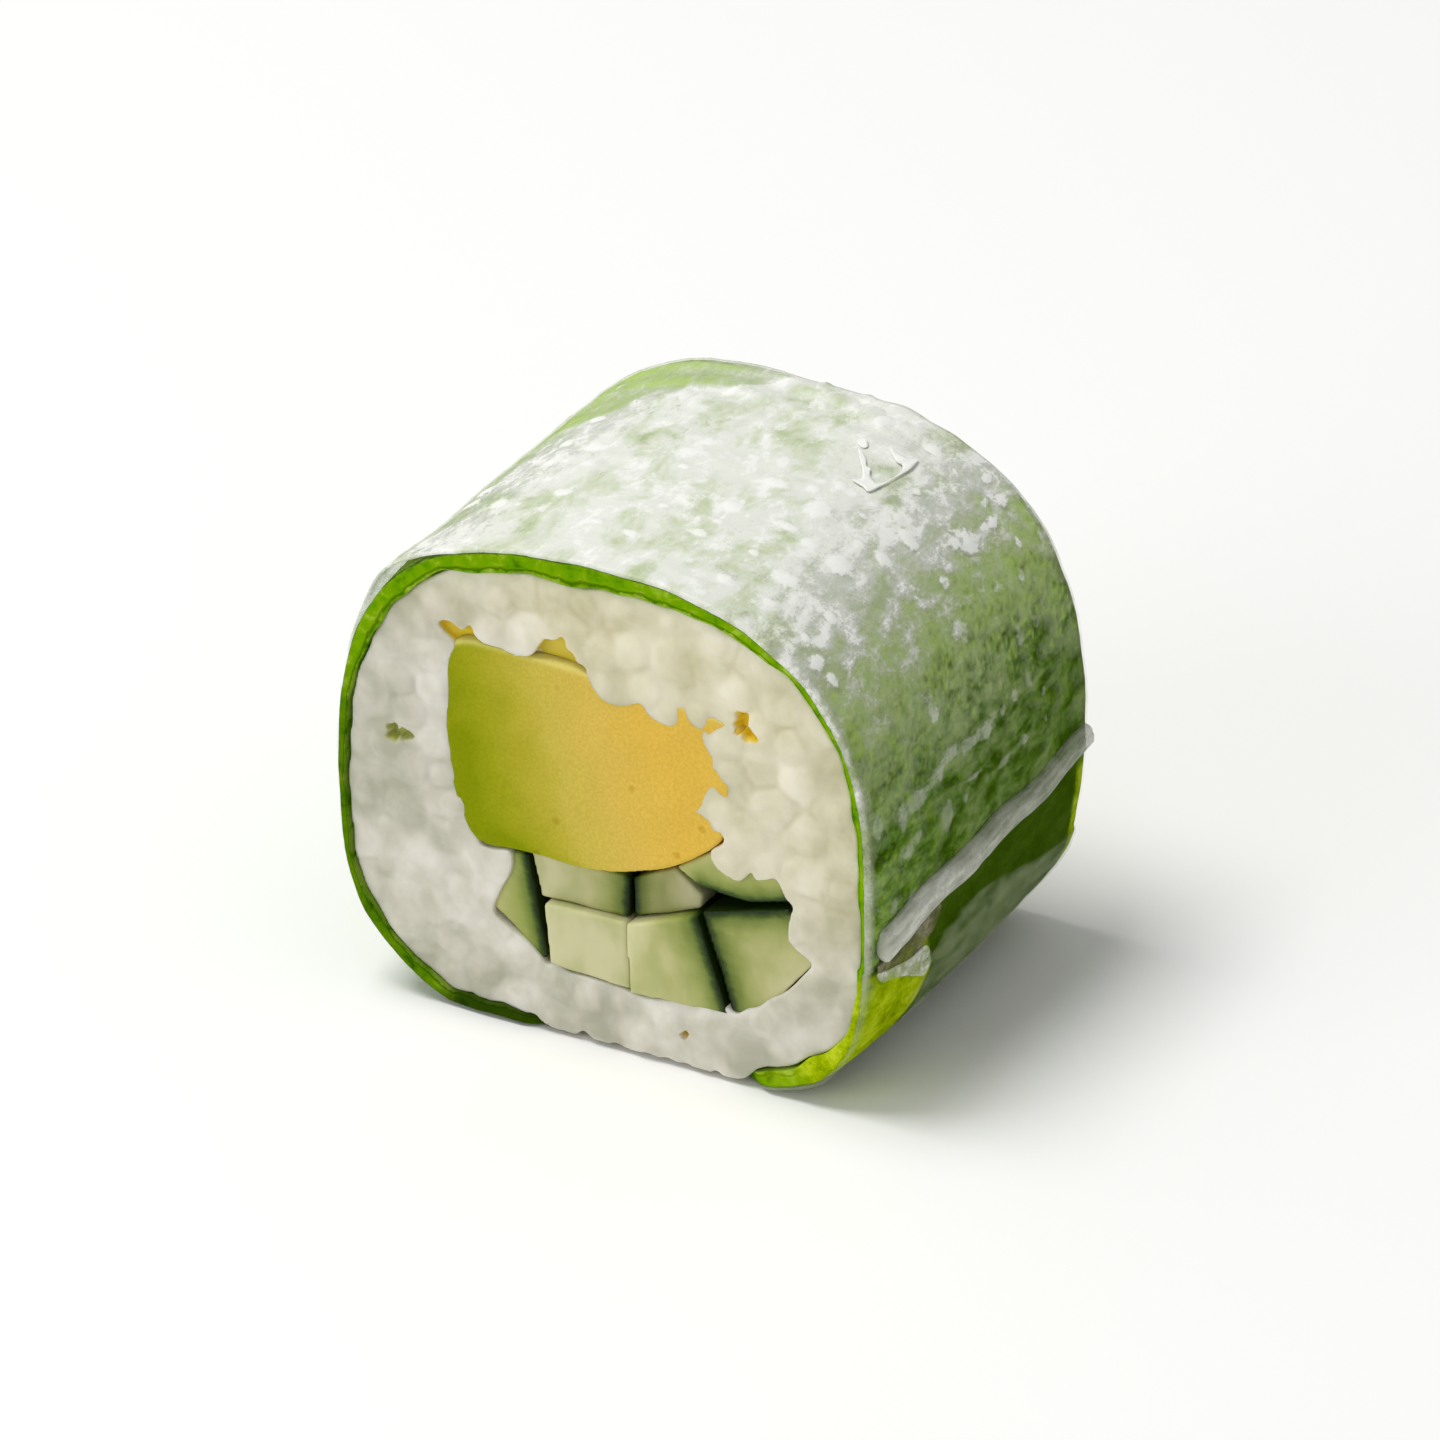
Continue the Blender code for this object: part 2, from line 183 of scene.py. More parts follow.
# Air blisters under the film: angle, place along the roll, half their size round it and along it
BLISTERS = (
    (45.8, 6.0, 1.2, 1.4), (35.2, 6.3, 0.5, 0.55), (34.5, 8.8, 0.5, 0.45), (26.0, 6.3, 0.8, 0.4),
    (25.8, 8.3, 0.45, 0.4), (34.2, 1.2, 0.8, 0.9), (27.5, -4.2, 0.95, 0.45), (15.5, 0.7, 0.75, 0.4),
    (15.8, -1.2, 0.4, 0.9), (17.0, -3.6, 0.4, 0.9), (15.5, -4.8, 0.6, 0.35), (6.8, 2.3, 0.36, 0.7),
    (9.0, -1.0, 0.22, 0.4), (7.5, 4.9, 0.4, 0.35), (13.8, -7.0, 0.6, 0.35), (6.2, -4.4, 1.0, 0.65),
    (6.2, -2.2, 0.45, 0.35), (13.0, -9.4, 0.95, 0.5), (15.0, -12.1, 0.95, 0.45), (5.5, -8.9, 0.75, 0.4),
    (47.2, -11.4, 0.6, 0.8), (43.0, -11.3, 0.6, 0.5), (42.8, -0.9, 0.5, 0.35), (44.5, 9.2, 0.5, 0.55),
    (57.2, 6.3, 0.35, 0.4), (51.2, 2.1, 0.7, 0.6), (56.5, -3.8, 1.0, 1.0), (63.2, -3.5, 0.6, 0.6),
    (17.8, 6.1, 0.5, 0.35), (17.2, 4.3, 0.4, 0.3), (16.8, 2.7, 0.4, 0.3), (13.5, 7.6, 0.45, 0.3),
    (8.0, 7.6, 0.4, 0.25), (-4.2, -8.6, 0.45, 0.3), (-4.0, -10.6, 0.6, 0.3), (6.8, -7.9, 0.45, 0.35),
    (37.5, 3.1, 0.4, 0.3), (42.5, 2.1, 0.5, 0.6), (38.8, 10.2, 0.4, 0.35), (37.2, 12.4, 0.5, 0.3),
    (48.0, 9.9, 0.35, 0.6), (55.5, 10.5, 0.6, 0.7), (72.0, 10.8, 0.55, 0.8), (67.0, -0.3, 1.0, 1.1),
    (70.8, 1.5, 0.45, 0.45), (67.5, 2.9, 0.45, 0.55), (76.8, 0.7, 0.95, 0.6), (69.2, -3.1, 0.85, 0.55),
    (79.8, -3.2, 0.75, 0.6), (80.2, -6.9, 0.8, 0.5), (63.8, -3.7, 0.5, 0.5), (61.3, -7.6, 1.1, 0.9),
    (69.2, -10.3, 0.8, 0.7), (61.0, 10.6, 0.7, 0.85), (46.0, 11.4, 0.5, 0.6), (110.5, -5.8, 0.75, 0.6),
    (114.2, 0.2, 0.95, 0.7), (91.5, -8.9, 0.6, 0.4), (51.2, -7.9, 0.45, 0.45), (79.2, -5.2, 0.4, 0.35),
    (94.5, -0.5, 0.5, 0.35), (85.2, 2.7, 0.5, 0.35), (60.5, 1.3, 0.35, 0.35), (57.2, -1.1, 0.4, 0.4),
    (52.5, -0.8, 0.6, 0.55), (52.8, 2.3, 0.6, 0.55), (69.2, -6.8, 0.45, 0.35), (90.5, -5.2, 0.5, 0.35),
    (98.8, -8.5, 0.5, 0.35), (50.8, 11.8, 0.35, 0.45), (56.2, 3.2, 0.4, 0.4), (60.3, -10.2, 0.5, 0.45),
    (51.5, -10.7, 0.4, 0.4),
)

# Loose bits of film, as (angle, along): a torn flap and scrap on the top, and a fold and a web under the seam
FLAP_OUTLINE = (
    (70.8, 7.1), (68.2, 6.4), (67.0, 5.7), (66.0, 5.6), (65.0, 5.0), (63.0, 4.7), (62.0, 5.7), (61.8, 6.9),
    (62.5, 7.6), (63.8, 7.6), (65.5, 8.0), (66.5, 8.6), (65.0, 8.3), (63.5, 8.3), (62.0, 8.6), (61.3, 8.8),
    (61.0, 7.9), (61.3, 6.8), (61.8, 5.8), (62.2, 4.7), (63.0, 3.6), (64.5, 3.7), (66.8, 3.8), (65.8, 4.3),
    (66.8, 5.1), (68.5, 5.9),
)
SCRAP_OUTLINE = ((72.2, 7.8), (71.8, 8.2), (70.8, 8.2), (69.8, 7.7), (70.2, 7.4), (71.2, 7.5))
FOLD_OUTLINE = (
    (-15.5, -12.3), (-16.2, -11.4), (-17.2, -10.2), (-18.0, -9.0), (-18.6, -7.9), (-18.4, -6.9),
    (-19.0, -6.1), (-21.2, -5.6), (-23.6, -5.7), (-24.6, -6.2), (-23.6, -7.2), (-21.6, -8.5),
    (-19.8, -9.9), (-18.2, -11.6),
)
WEB_OUTLINE = (
    (-13.6, -12.1), (-13.4, -10.5), (-12.6, -8.9), (-12.0, -7.6), (-11.6, -6.4), (-11.6, -5.2), (-13.4, -4.6),
    (-16.4, -5.3), (-18.0, -6.5), (-18.9, -7.6), (-18.0, -9.0), (-17.0, -10.6), (-15.8, -12.0),
)
# painted highlight: the flap, scrap and fold are painted near white, partly for the air under them and partly
# for the highlights on their glossy edges
# Each bit: its name and outline, how far off it lies, its crumpling and how much it hides
PATCHES_OF_FILM = (
    ("film_flap", FLAP_OUTLINE, 0.13, 0.06, 1.3),
    ("film_scrap", SCRAP_OUTLINE, 0.08, 0.03, 1.2),
    ("film_fold", FOLD_OUTLINE, 0.08, 0.14, 0.7),
    ("film_web", WEB_OUTLINE, 0.03, 0.03, 0.62),
)
PATCH_THICKNESS = 0.06
# Creases, as (angle, along)
CREASES = (
    ((107.8, -12.4), (108.2, -6.7), (110.2, -0.2), (110.0, 5.0), (109.0, 8.0), (111.0, 12.2)),
    ((105.0, 1.9), (100.2, 7.6), (94.8, 10.2), (87.2, 13.2)),
    ((98.0, 3.0), (92.0, 8.0), (84.0, 11.5), (78.0, 13.2)),
)

# Where the film on the back of the top turns clear
CLEAR_ANGLES = (92, 95, 102, 107, 115.5, 118.5, 121, 127, 145)
CLEAR_PLACES = (13.4, 12.3, 9.7, 9.4, 8.1, 5.6, 4.7, 3.8, 2.0)

# The lime-green corner under the seam
LIME_ANGLES = (-50, -40, -36, -31, -26, -17)
LIME_PLACES = (-13.4, -9.0, -6.6, -5.9, -5.0, -6.0)

# How far the rolled edge stays from the front cut and the back one
BEAD_FROM_FRONT = 1.1
BEAD_FROM_BACK = 0.1

# The rice at a cut: its depth with grains, that of their middles, where the knife's slice takes hold, how
# much it gives there, how deep the hollows are dug, and the range of the grains' tones
RICE_CAP_DEPTH = 3.2
GRAIN_CENTRE_DEPTH = 1.02
SLICE_START = 0.4
SLICE_GIVE = 0.26
HOLLOW_DEPTH = 0.75
GRAIN_TONES = (0.2, 0.72)

# Rows and columns of the meshes, the fineness of those that are fused, the share of the rice's faces that is
# kept, and what the random draws start from
FILM_COLUMNS = 440
FILM_ROWS = 104
LEAF_COLUMNS = 420
LEAF_ROWS = 104
BEAD_COLUMNS = 40
BEAD_ROWS = 200
AVOCADO_VOXEL = 0.2 * MM
STICK_VOXEL = 0.17 * MM
RICE_KEPT = 0.6
SEED = 5

# The stage: the floor's size, and each lamp's place and size, all in metres
FLOOR_SIZE = 6.0
FLOOR_GAP = 0.0001
AMBIENT = 0.4
KEY_LAMP = ((-0.25, -0.1, 0.75), 0.35)
FILL_LAMP = ((-0.35, -0.7, 0.35), 0.5)
LAMP_AIM = Vector((0, 0, 0.015))


def colour(code):
    """Linear RGBA of an sRGB hex colour."""
    parts = [int(code[i : i + 2], 16) / 255 for i in (1, 3, 5)]
    return (*(c / 12.92 if c <= 0.04045 else ((c + 0.055) / 1.055) ** 2.4 for c in parts), 1.0)


def grey(value):
    return (value, value, value, 1.0)


# Shapes in the plane and round the roll


def smooth_step(value, low, high):
    share = np.clip((value - low) / (high - low), 0, 1)
    return share * share * (3 - 2 * share)


def turn_between(angle, centre):
    """Signed turn in degrees from a centre to angles in radians."""
    return (np.degrees(angle) - centre + 180) % 360 - 180


def round_table(angle, table):
    """Values of a table of (angle, value) at angles in radians."""
    return np.interp(np.degrees(angle) % 360, *zip(*table))


def outline_radius(angle):
    """Distance from the roll's axis to its outline, at angles in radians."""
    across, up = np.cos(angle), np.sin(angle)
    reach = np.where(up > 0, RISE, DROP)
    quarter = (np.degrees(angle) % 360 // 90).astype(int)
    power = np.array(SQUARENESS)[quarter]
    return (np.abs(across / HALF_WIDTH) ** power + np.abs(up / reach) ** power) ** (-1 / power)


def bulge(angle, y):
    """The roll is fuller at its lower left, and on the right towards its back."""
    lower = 0.75 * np.exp(-((turn_between(angle, 238) / 13) ** 2))
    return lower + (0.2 + 0.45 * smooth_step(y, -6, 13)) * np.exp(-((turn_between(angle, 0) / 30) ** 2))


def roll_points(angle, y, inset):
    """Points inset under the roll's surface."""
    radius = outline_radius(angle) + bulge(angle, y) + SWELL * (1 - (2 * y / LENGTH) ** 2) - inset
    x = AXIS_X + radius * np.cos(angle)
    z = AXIS_HEIGHT + radius * np.sin(angle)
    return np.stack([x, y, np.maximum(z, inset)], axis=-1)


def on_front_cut(crop_x, crop_y):
    """The place across and up, to a tenth of a millimetre, of a pixel of the crop."""
    right = (CROP_CORNER[0] + crop_x / CROP_SCALE - PHOTO_MIDDLE) / PIXELS_PER_MM + AIM_RIGHT
    up = (PHOTO_MIDDLE - CROP_CORNER[1] - crop_y / CROP_SCALE) / PIXELS_PER_MM + AIM_UP
    x = (right + CUT * math.sin(CAMERA_TURN)) / math.cos(CAMERA_TURN)
    nearness = CUT * math.cos(CAMERA_TURN) + x * math.sin(CAMERA_TURN)
    z = AIM_HEIGHT + (up + nearness * math.sin(CAMERA_TILT)) / math.cos(CAMERA_TILT)
    return round(x - AXIS_X, 1), round(z, 1)


FRONT_OPENING = tuple(on_front_cut(*pixel) for pixel in OPENING_PIXELS)


def film_thickness(angle, y):
    """The film swells towards its cut edges."""
    from_cut = CUT - np.abs(y)
    edge = np.where(y < 0, round_table(angle, FILM_EDGE), 0.09)
    return FILM_THICKNESS + (edge - FILM_THICKNESS) * np.exp(-((from_cut / 1.3) ** 2))


def leaf_thickness(angle):
    wave = 0.07 * np.sin(7 * angle) + 0.06 * np.sin(19 * angle + 1) + 0.04 * np.sin(43 * angle)
    return np.maximum(round_table(angle, LEAF_THICKNESS) + wave, 0.2)


def open_below(angle, front):
    """How bare of film and leaf the rice is under the roll: 1 at the middle of the front cut's lower side."""
    down = np.degrees(angle) % 360
    if front:
        return smooth_step(down, 249, 259) * (1 - smooth_step(down, 301, 309))
    return 0.6 * smooth_step(down, 240, 262) * (1 - smooth_step(down, 285, 305))


def wrap_recess(angle, front):
    """How far the wrap's edge draws back behind the knife cut."""
    wave = 0.07 * np.sin(5 * angle) + 0.04 * np.sin(23 * angle + 2)
    return 0.12 + wave + 1.3 * open_below(angle, front)


def rice_inset(angle, front):
    """How deep the rice starts under the roll's surface at a cut."""
    wrapped = film_thickness(angle, -CUT if front else CUT) + 0.1 + leaf_thickness(angle)
    return wrapped + (0.12 - wrapped) * open_below(angle, front)


def segment_distance(points, a, b):
    """Distance of points to the segment from a to b, in the plane."""
    a, b = np.array(a, float), np.array(b, float)
    along = b - a
    share = np.clip(((points - a) @ along) / (along @ along), 0, 1)
    return np.linalg.norm(points - a - share[:, None] * along, axis=1)


def path_distance(points, path):
    return np.min([segment_distance(points, a, b) for a, b in zip(path, path[1:])], axis=0)


def outline_distance(points, outline):
    """Signed distance of points to a closed outline: negative inside."""
    corners = np.array(outline, float)
    following = np.roll(corners, -1, axis=0)
    distance = np.full(len(points), np.inf)
    inside = np.zeros(len(points), bool)
    for a, b in zip(corners, following):
        distance = np.minimum(distance, segment_distance(points, a, b))
        crosses = (a[1] > points[:, 1]) != (b[1] > points[:, 1])
        if a[1] != b[1]:
            where = a[0] + (points[:, 1] - a[1]) / (b[1] - a[1]) * (b[0] - a[0])
            inside ^= crosses & (points[:, 0] < where)
    return np.where(inside, -distance, distance)


def smooth_loop(corners, steps):
    """A closed curve through the corners (Catmull-Rom)."""
    points = np.array(corners, float)
    a, b, c, d = (np.roll(points, shift, axis=0) for shift in (1, 0, -1, -2))
    rows = []
    for t in np.arange(steps) / steps:
        rows.append(
            b + ((c - a) * t + (2 * a - 5 * b + 4 * c - d) * t**2 + (3 * b - a - 3 * c + d) * t**3) / 2
        )
    return np.stack(rows, axis=1).reshape(-1, 2)


def grown(outline, amount):
    """An outline moved outwards from its middle."""
    points = np.array(outline, float)
    middle = points.mean(axis=0)
    away = points - middle
    return middle + away * (1 + amount / np.linalg.norm(away, axis=1))[:, None]


def noise_at(points, scale, offset=0.0):
    """Smooth noise between -1 and 1 at points in millimetres."""
    return np.array(
        [noise.noise(Vector((p[0] * scale + offset, p[1] * scale, p[2] * scale))) for p in points]
    )


# Meshes


def deselect():
    if bpy.context.object and bpy.context.object.mode != "OBJECT":
        bpy.ops.object.mode_set(mode="OBJECT")
    bpy.ops.object.select_all(action="DESELECT")


def coordinates(mesh):
    co = np.zeros(len(mesh.vertices) * 3, np.float32)
    mesh.vertices.foreach_get("co", co)
    return co.reshape(-1, 3).astype(float)


def set_coordinates(mesh, points):
    mesh.vertices.foreach_set("co", np.ascontiguousarray(points, np.float32).ravel())
    mesh.update()


def vertex_normals(mesh):
    normals = np.zeros(len(mesh.vertices) * 3, np.float32)
    mesh.vertices.foreach_get("normal", normals)
    return normals.reshape(-1, 3).astype(float)


def set_attribute(mesh, name, values):
    made = mesh.attributes.new(name, "FLOAT", "POINT")
    made.data.foreach_set("value", np.ascontiguousarray(values, np.float32))


def close_mesh():
    """Joins the active grid's matching edges and turns its faces outwards."""
    bpy.ops.object.mode_set(mode="EDIT")
    bpy.ops.mesh.select_all(action="SELECT")
    bpy.ops.mesh.remove_doubles(threshold=1e-6)
    bpy.ops.mesh.normals_make_consistent(inside=False)
    bpy.ops.object.mode_set(mode="OBJECT")


def apply_modifier(piece, kind, **settings):
    deselect()
    piece.select_set(True)
    bpy.context.view_layer.objects.active = piece
    made = piece.modifiers.new(kind.lower(), kind)
    for name, value in settings.items():
        setattr(made, name, value)
    bpy.ops.object.modifier_apply(modifier=made.name)


def finish_piece(piece, name, material, slot, *nodes):
    """Names the piece, gives it its material and puts it in the place of its CAD nodes."""
    piece.name = name
    piece.data.name = name
    piece.data.materials.clear()
    piece.data.materials.append(material)
    piece.data.shade_smooth()
    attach(piece, "root")
    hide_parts(*nodes)


def flat_grid(columns, rows):
    """A grid primitive with its points' shares across and along."""
    deselect()
    bpy.ops.mesh.primitive_grid_add(x_subdivisions=columns, y_subdivisions=rows, size=1.0, calc_uvs=False)
    piece = bpy.context.object
    flat = coordinates(piece.data)
    return piece, flat[:, 0] + 0.5, flat[:, 1] + 0.5


def wall_path(outer_rows, rim_rows, inner_rows):
    """A wall's section as shares of length and thickness: outside, back rim, inside, front rim."""
    out = [(share, 0.0) for share in np.linspace(0, 1, outer_rows)]
    back = [(1.0, depth) for depth in np.linspace(0, 1, rim_rows)[1:-1]]
    into = [(share, 1.0) for share in np.linspace(1, 0, inner_rows)]
    front = [(0.0, depth) for depth in np.linspace(1, 0, rim_rows)[1:-1]]
    return out + back + into + front


def wrapped_tube(columns, path, shape):
    """A closed tube round the roll: a grid that is wrapped round it and joined to itself."""
    piece, across, along = flat_grid(columns, len(path))
    row = np.rint(along * len(path)).astype(int)
    section = np.array([*path, path[0]])
    turn = np.rint(across * columns) % columns / columns
    points, attributes = shape(turn * 2 * math.pi - math.pi / 2, section[row, 0], section[row, 1])
    set_coordinates(piece.data, points * MM)
    for name, values in attributes.items():
        set_attribute(piece.data, name, values)
    close_mesh()
    return piece


def prism(outline, front, back, bevel):
    """A filled circle primitive shaped to an outline, extruded along the roll, its edges bevelled."""
    deselect()
    bpy.ops.mesh.primitive_circle_add(vertices=len(outline), radius=1.0, fill_type="NGON")
    piece = bpy.context.object
    set_coordinates(piece.data, np.array([(x + AXIS_X, front, z) for x, z in outline]) * MM)
    bpy.ops.object.mode_set(mode="EDIT")
    bpy.ops.mesh.select_all(action="SELECT")
    bpy.ops.mesh.extrude_region_move(TRANSFORM_OT_translate={"value": (0, (back - front) * MM, 0)})
    bpy.ops.mesh.select_all(action="SELECT")
    bpy.ops.mesh.normals_make_consistent(inside=False)
    if bevel:
        bpy.ops.mesh.bevel(offset=bevel * MM, segments=3, affect="EDGES", clamp_overlap=True)
    bpy.ops.object.mode_set(mode="OBJECT")
    return piece


# Materials


def add_node(tree, kind, settings=None, inputs=None, stops=None):
    """A node with its settings, its inputs (values or sockets) and, on a ramp, its stops."""
    made = tree.nodes.new(kind)
    for name, value in (settings or {}).items():
        setattr(made, name, value)
    for name, value in (inputs or {}).items():
        if isinstance(value, bpy.types.NodeSocket):
            tree.links.new(value, made.inputs[name])
        else:
            made.inputs[name].default_value = value
    for i, (position, shade) in enumerate(stops or ()):
        elements = made.color_ramp.elements
        element = elements[i] if i < len(elements) else elements.new(position)
        element.position = position
        element.color = shade
    return made


def math_node(tree, operation, *values, clamp=False):
    return add_node(
        tree, "ShaderNodeMath", {"operation": operation, "use_clamp": clamp}, dict(enumerate(values))
    ).outputs[0]


def noise_node(tree, place, size, detail=4.0, roughness=0.58, distortion=0.0):
    """Noise with patches of about a size in millimetres."""
    return add_node(
        tree,
        "ShaderNodeTexNoise",
        inputs={
            "Vector": place,
            "Scale": 1 / (size * MM),
            "Detail": detail,
            "Roughness": roughness,
            "Distortion": distortion,
        },
    ).outputs["Fac"]


def ramp_node(tree, factor, *stops):
    return add_node(tree, "ShaderNodeValToRGB", inputs={"Fac": factor}, stops=stops).outputs["Color"]


def mix_node(tree, factor, first, second, blend="MIX"):
    settings = {"data_type": "RGBA", "blend_type": blend}
    return add_node(tree, "ShaderNodeMix", settings, {"Factor": factor, 6: first, 7: second}).outputs[2]


def tinted(tree, factor, base, code):
    """A colour multiplied by another, as far as a factor says."""
    return mix_node(tree, factor, base, mix_node(tree, 1.0, base, colour(code), "MULTIPLY"))


def add_bump(tree, shader, height, strength, depth):
    """Fine relief of a depth in millimetres."""
    bump = add_node(
        tree, "ShaderNodeBump", inputs={"Height": height, "Strength": strength, "Distance": depth * MM}
    )
    tree.links.new(bump.outputs["Normal"], shader.inputs["Normal"])


def range_node(tree, value, low, high, start=0.0, end=1.0):
    return add_node(
        tree,
        "ShaderNodeMapRange",
        {"interpolation_type": "SMOOTHSTEP"},
        {"Value": value, "From Min": low, "From Max": high, "To Min": start, "To Max": end},
    ).outputs["Result"]


def attribute_node(tree, name):
    return add_node(tree, "ShaderNodeAttribute", {"attribute_name": name}).outputs["Fac"]


def object_place(tree, stretch=(1.0, 1.0, 1.0)):
    place = add_node(tree, "ShaderNodeTexCoord").outputs["Object"]
    return add_node(tree, "ShaderNodeMapping", inputs={"Vector": place, "Scale": stretch}).outputs["Vector"]


def new_material(name, inputs):
    """A material with its Principled shader's inputs set to values."""
    made = bpy.data.materials.new(name)
    made.use_nodes = True
    shader = made.node_tree.nodes["Principled BSDF"]
    for key, value in inputs.items():
        shader.inputs[key].default_value = value
    return made, made.node_tree, shader


def film_material(name, thin_colour, milky_colour, flaky):
    """Soaked rice paper: wet starch, clear where it clings to the leaf and milky where air is under it; on
    the top its white is partly painted highlight.
    """
    made, tree, shader = new_material(name, {"Roughness": 0.4, "IOR": 1.38, "Specular IOR Level": 0.35})
    place = object_place(tree, (1.0, 0.65, 1.0))
    haze, patchy, blister = (attribute_node(tree, kind) for kind in ("haze", "patchy", "blister"))
    patches = noise_node(tree, place, 1.5, 9.0, 0.72, 0.15)
    patches = ramp_node(tree, patches, (0.36, grey(0.0)), (0.5, grey(0.5)), (0.64, grey(1.0)))
    centred = math_node(tree, "MULTIPLY_ADD", patches, 2.0, -1.0)
    # fibres of starch of about 0.25 mm
    fibres = noise_node(tree, object_place(tree, (1.0, 0.7, 1.0)), 0.24, 3.0, 0.7)
    fibres = math_node(tree, "SUBTRACT", fibres, 0.5)
    broken = math_node(tree, "MULTIPLY_ADD", fibres, 0.9, centred)
    milky = math_node(tree, "MULTIPLY_ADD", broken, patchy, haze)
    milky = math_node(tree, "MULTIPLY_ADD", fibres, 0.09, milky)
    # blisters have crisp, uneven edges
    uneven = math_node(tree, "MULTIPLY_ADD", fibres, 2.2, centred)
    edge = math_node(tree, "MULTIPLY_ADD", uneven, 0.26, blister)
    blister_here = range_node(tree, edge, 0.0, 0.45)
    blob = math_node(tree, "MULTIPLY", blister_here, 0.36)
    milky = math_node(tree, "ADD", milky, blob, clamp=True)
    # the milky film is green in blotches of about 3 mm where it nearly clings, with white flakes and blisters
    stain = noise_node(tree, place, 3.0, 7.0, 0.62, 0.3)
    stain = ramp_node(
        tree, stain, (0.34, colour("#d3dfbc")), (0.43, colour("#ecf1e1")), (0.51, colour("#ffffff"))
    )
    body = mix_node(tree, flaky, milky_colour, mix_node(tree, 1.0, milky_colour, stain, "MULTIPLY"))
    flakes = math_node(tree, "MULTIPLY", range_node(tree, broken, 0.05, 0.95), flaky * 0.75)
    flakes = math_node(tree, "MAXIMUM", flakes, math_node(tree, "MULTIPLY", blister_here, flaky * 0.8))
    body = mix_node(tree, flakes, body, colour("#f4f5f0"))
    in_blister = math_node(tree, "MULTIPLY", blister_here, 0.5)
    share = math_node(tree, "MAXIMUM", range_node(tree, milky, 0.4, 0.95), in_blister)
    tint = mix_node(tree, share, thin_colour, body)
    tree.links.new(tint, shader.inputs["Base Color"])
    # the light crosses the film's two faces, so each hides its share
    through = math_node(tree, "POWER", math_node(tree, "SUBTRACT", 1.0, milky, clamp=True), 0.5)
    tree.links.new(math_node(tree, "SUBTRACT", 1.0, through), shader.inputs["Alpha"])
    relief = math_node(tree, "MULTIPLY_ADD", blister_here, 0.6, broken)
    add_bump(tree, shader, relief, 0.25, 0.05)
    return made


def leaf_material(settings):
    """A soft lettuce leaf: bright between its veins and darker in its folds, with painted shade below the
    seam and on the right side and painted light on the shoulder and top. The shine is the film's.
    """
    made, tree, shader = new_material("lettuce_leaf", {"Roughness": 0.45, "Specular IOR Level": 0.0})
    depth, lime, shade = (attribute_node(tree, name) for name in ("depth", "lime", "shade"))
    # the shade attribute darkens the leaf in its folds, and as painted shade below the seam and on the right
    # side
    fold_and_painted_shade = math_node(tree, "MULTIPLY", shade, 1.0, clamp=True)
    # blotches of about 3 mm, finely veined
    blotches = noise_node(tree, object_place(tree, (1.0, 0.6, 1.0)), 1.5, 10.0, 0.82, 0.1)
    dark, mid, light = settings.dark_colour, settings.leaf_colour, settings.light_colour
    outside = ramp_node(tree, blotches, (0.41, dark), (0.5, mid), (0.6, light))
    outside = mix_node(tree, fold_and_painted_shade, outside, dark)
    # painted light: where shade is below zero, on the shoulder and top, the leaf is painted a lighter green
    painted_light = math_node(tree, "MULTIPLY", shade, -0.85, clamp=True)
    outside = mix_node(tree, painted_light, outside, colour("#b3d060"))
    # the cut shows the leaf's layers: mottled green with a dark wavy line inside and pale edges
    mottle = noise_node(tree, object_place(tree), 1.3, 5.0, 0.62, 0.4)
    band = ramp_node(
        tree,
        mottle,
        (0.3, colour("#3f6c00")),
        (0.42, colour("#669a04")),
        (0.56, colour("#7ba704")),
        (0.7, colour("#a6c63c")),
    )
    layered = math_node(tree, "MULTIPLY_ADD", mottle, 0.75, depth)
    line_start, line_end = range_node(tree, layered, 1.05, 1.16), range_node(tree, layered, 1.3, 1.2)
    line = math_node(tree, "MULTIPLY", line_start, line_end)
    band = mix_node(tree, math_node(tree, "MULTIPLY", line, 0.6), band, colour("#274204"))
    pale = range_node(tree, layered, 1.28, 1.42, 0.0, 0.45)
    band = mix_node(tree, pale, band, colour("#a3b95c"))
    band = mix_node(tree, fold_and_painted_shade, band, colour("#1b2e05"))
    at_cut = range_node(tree, depth, 0.02, 0.08)
    both = mix_node(tree, at_cut, outside, band)
    sour = ramp_node(
        tree, blotches, (0.36, colour("#6f8600")), (0.5, colour("#a0b804")), (0.62, settings.lime_colour)
    )
    both = mix_node(tree, lime, both, sour)
    tree.links.new(both, shader.inputs["Base Color"])
    add_bump(tree, shader, mottle, 0.5, 0.15)
    return made


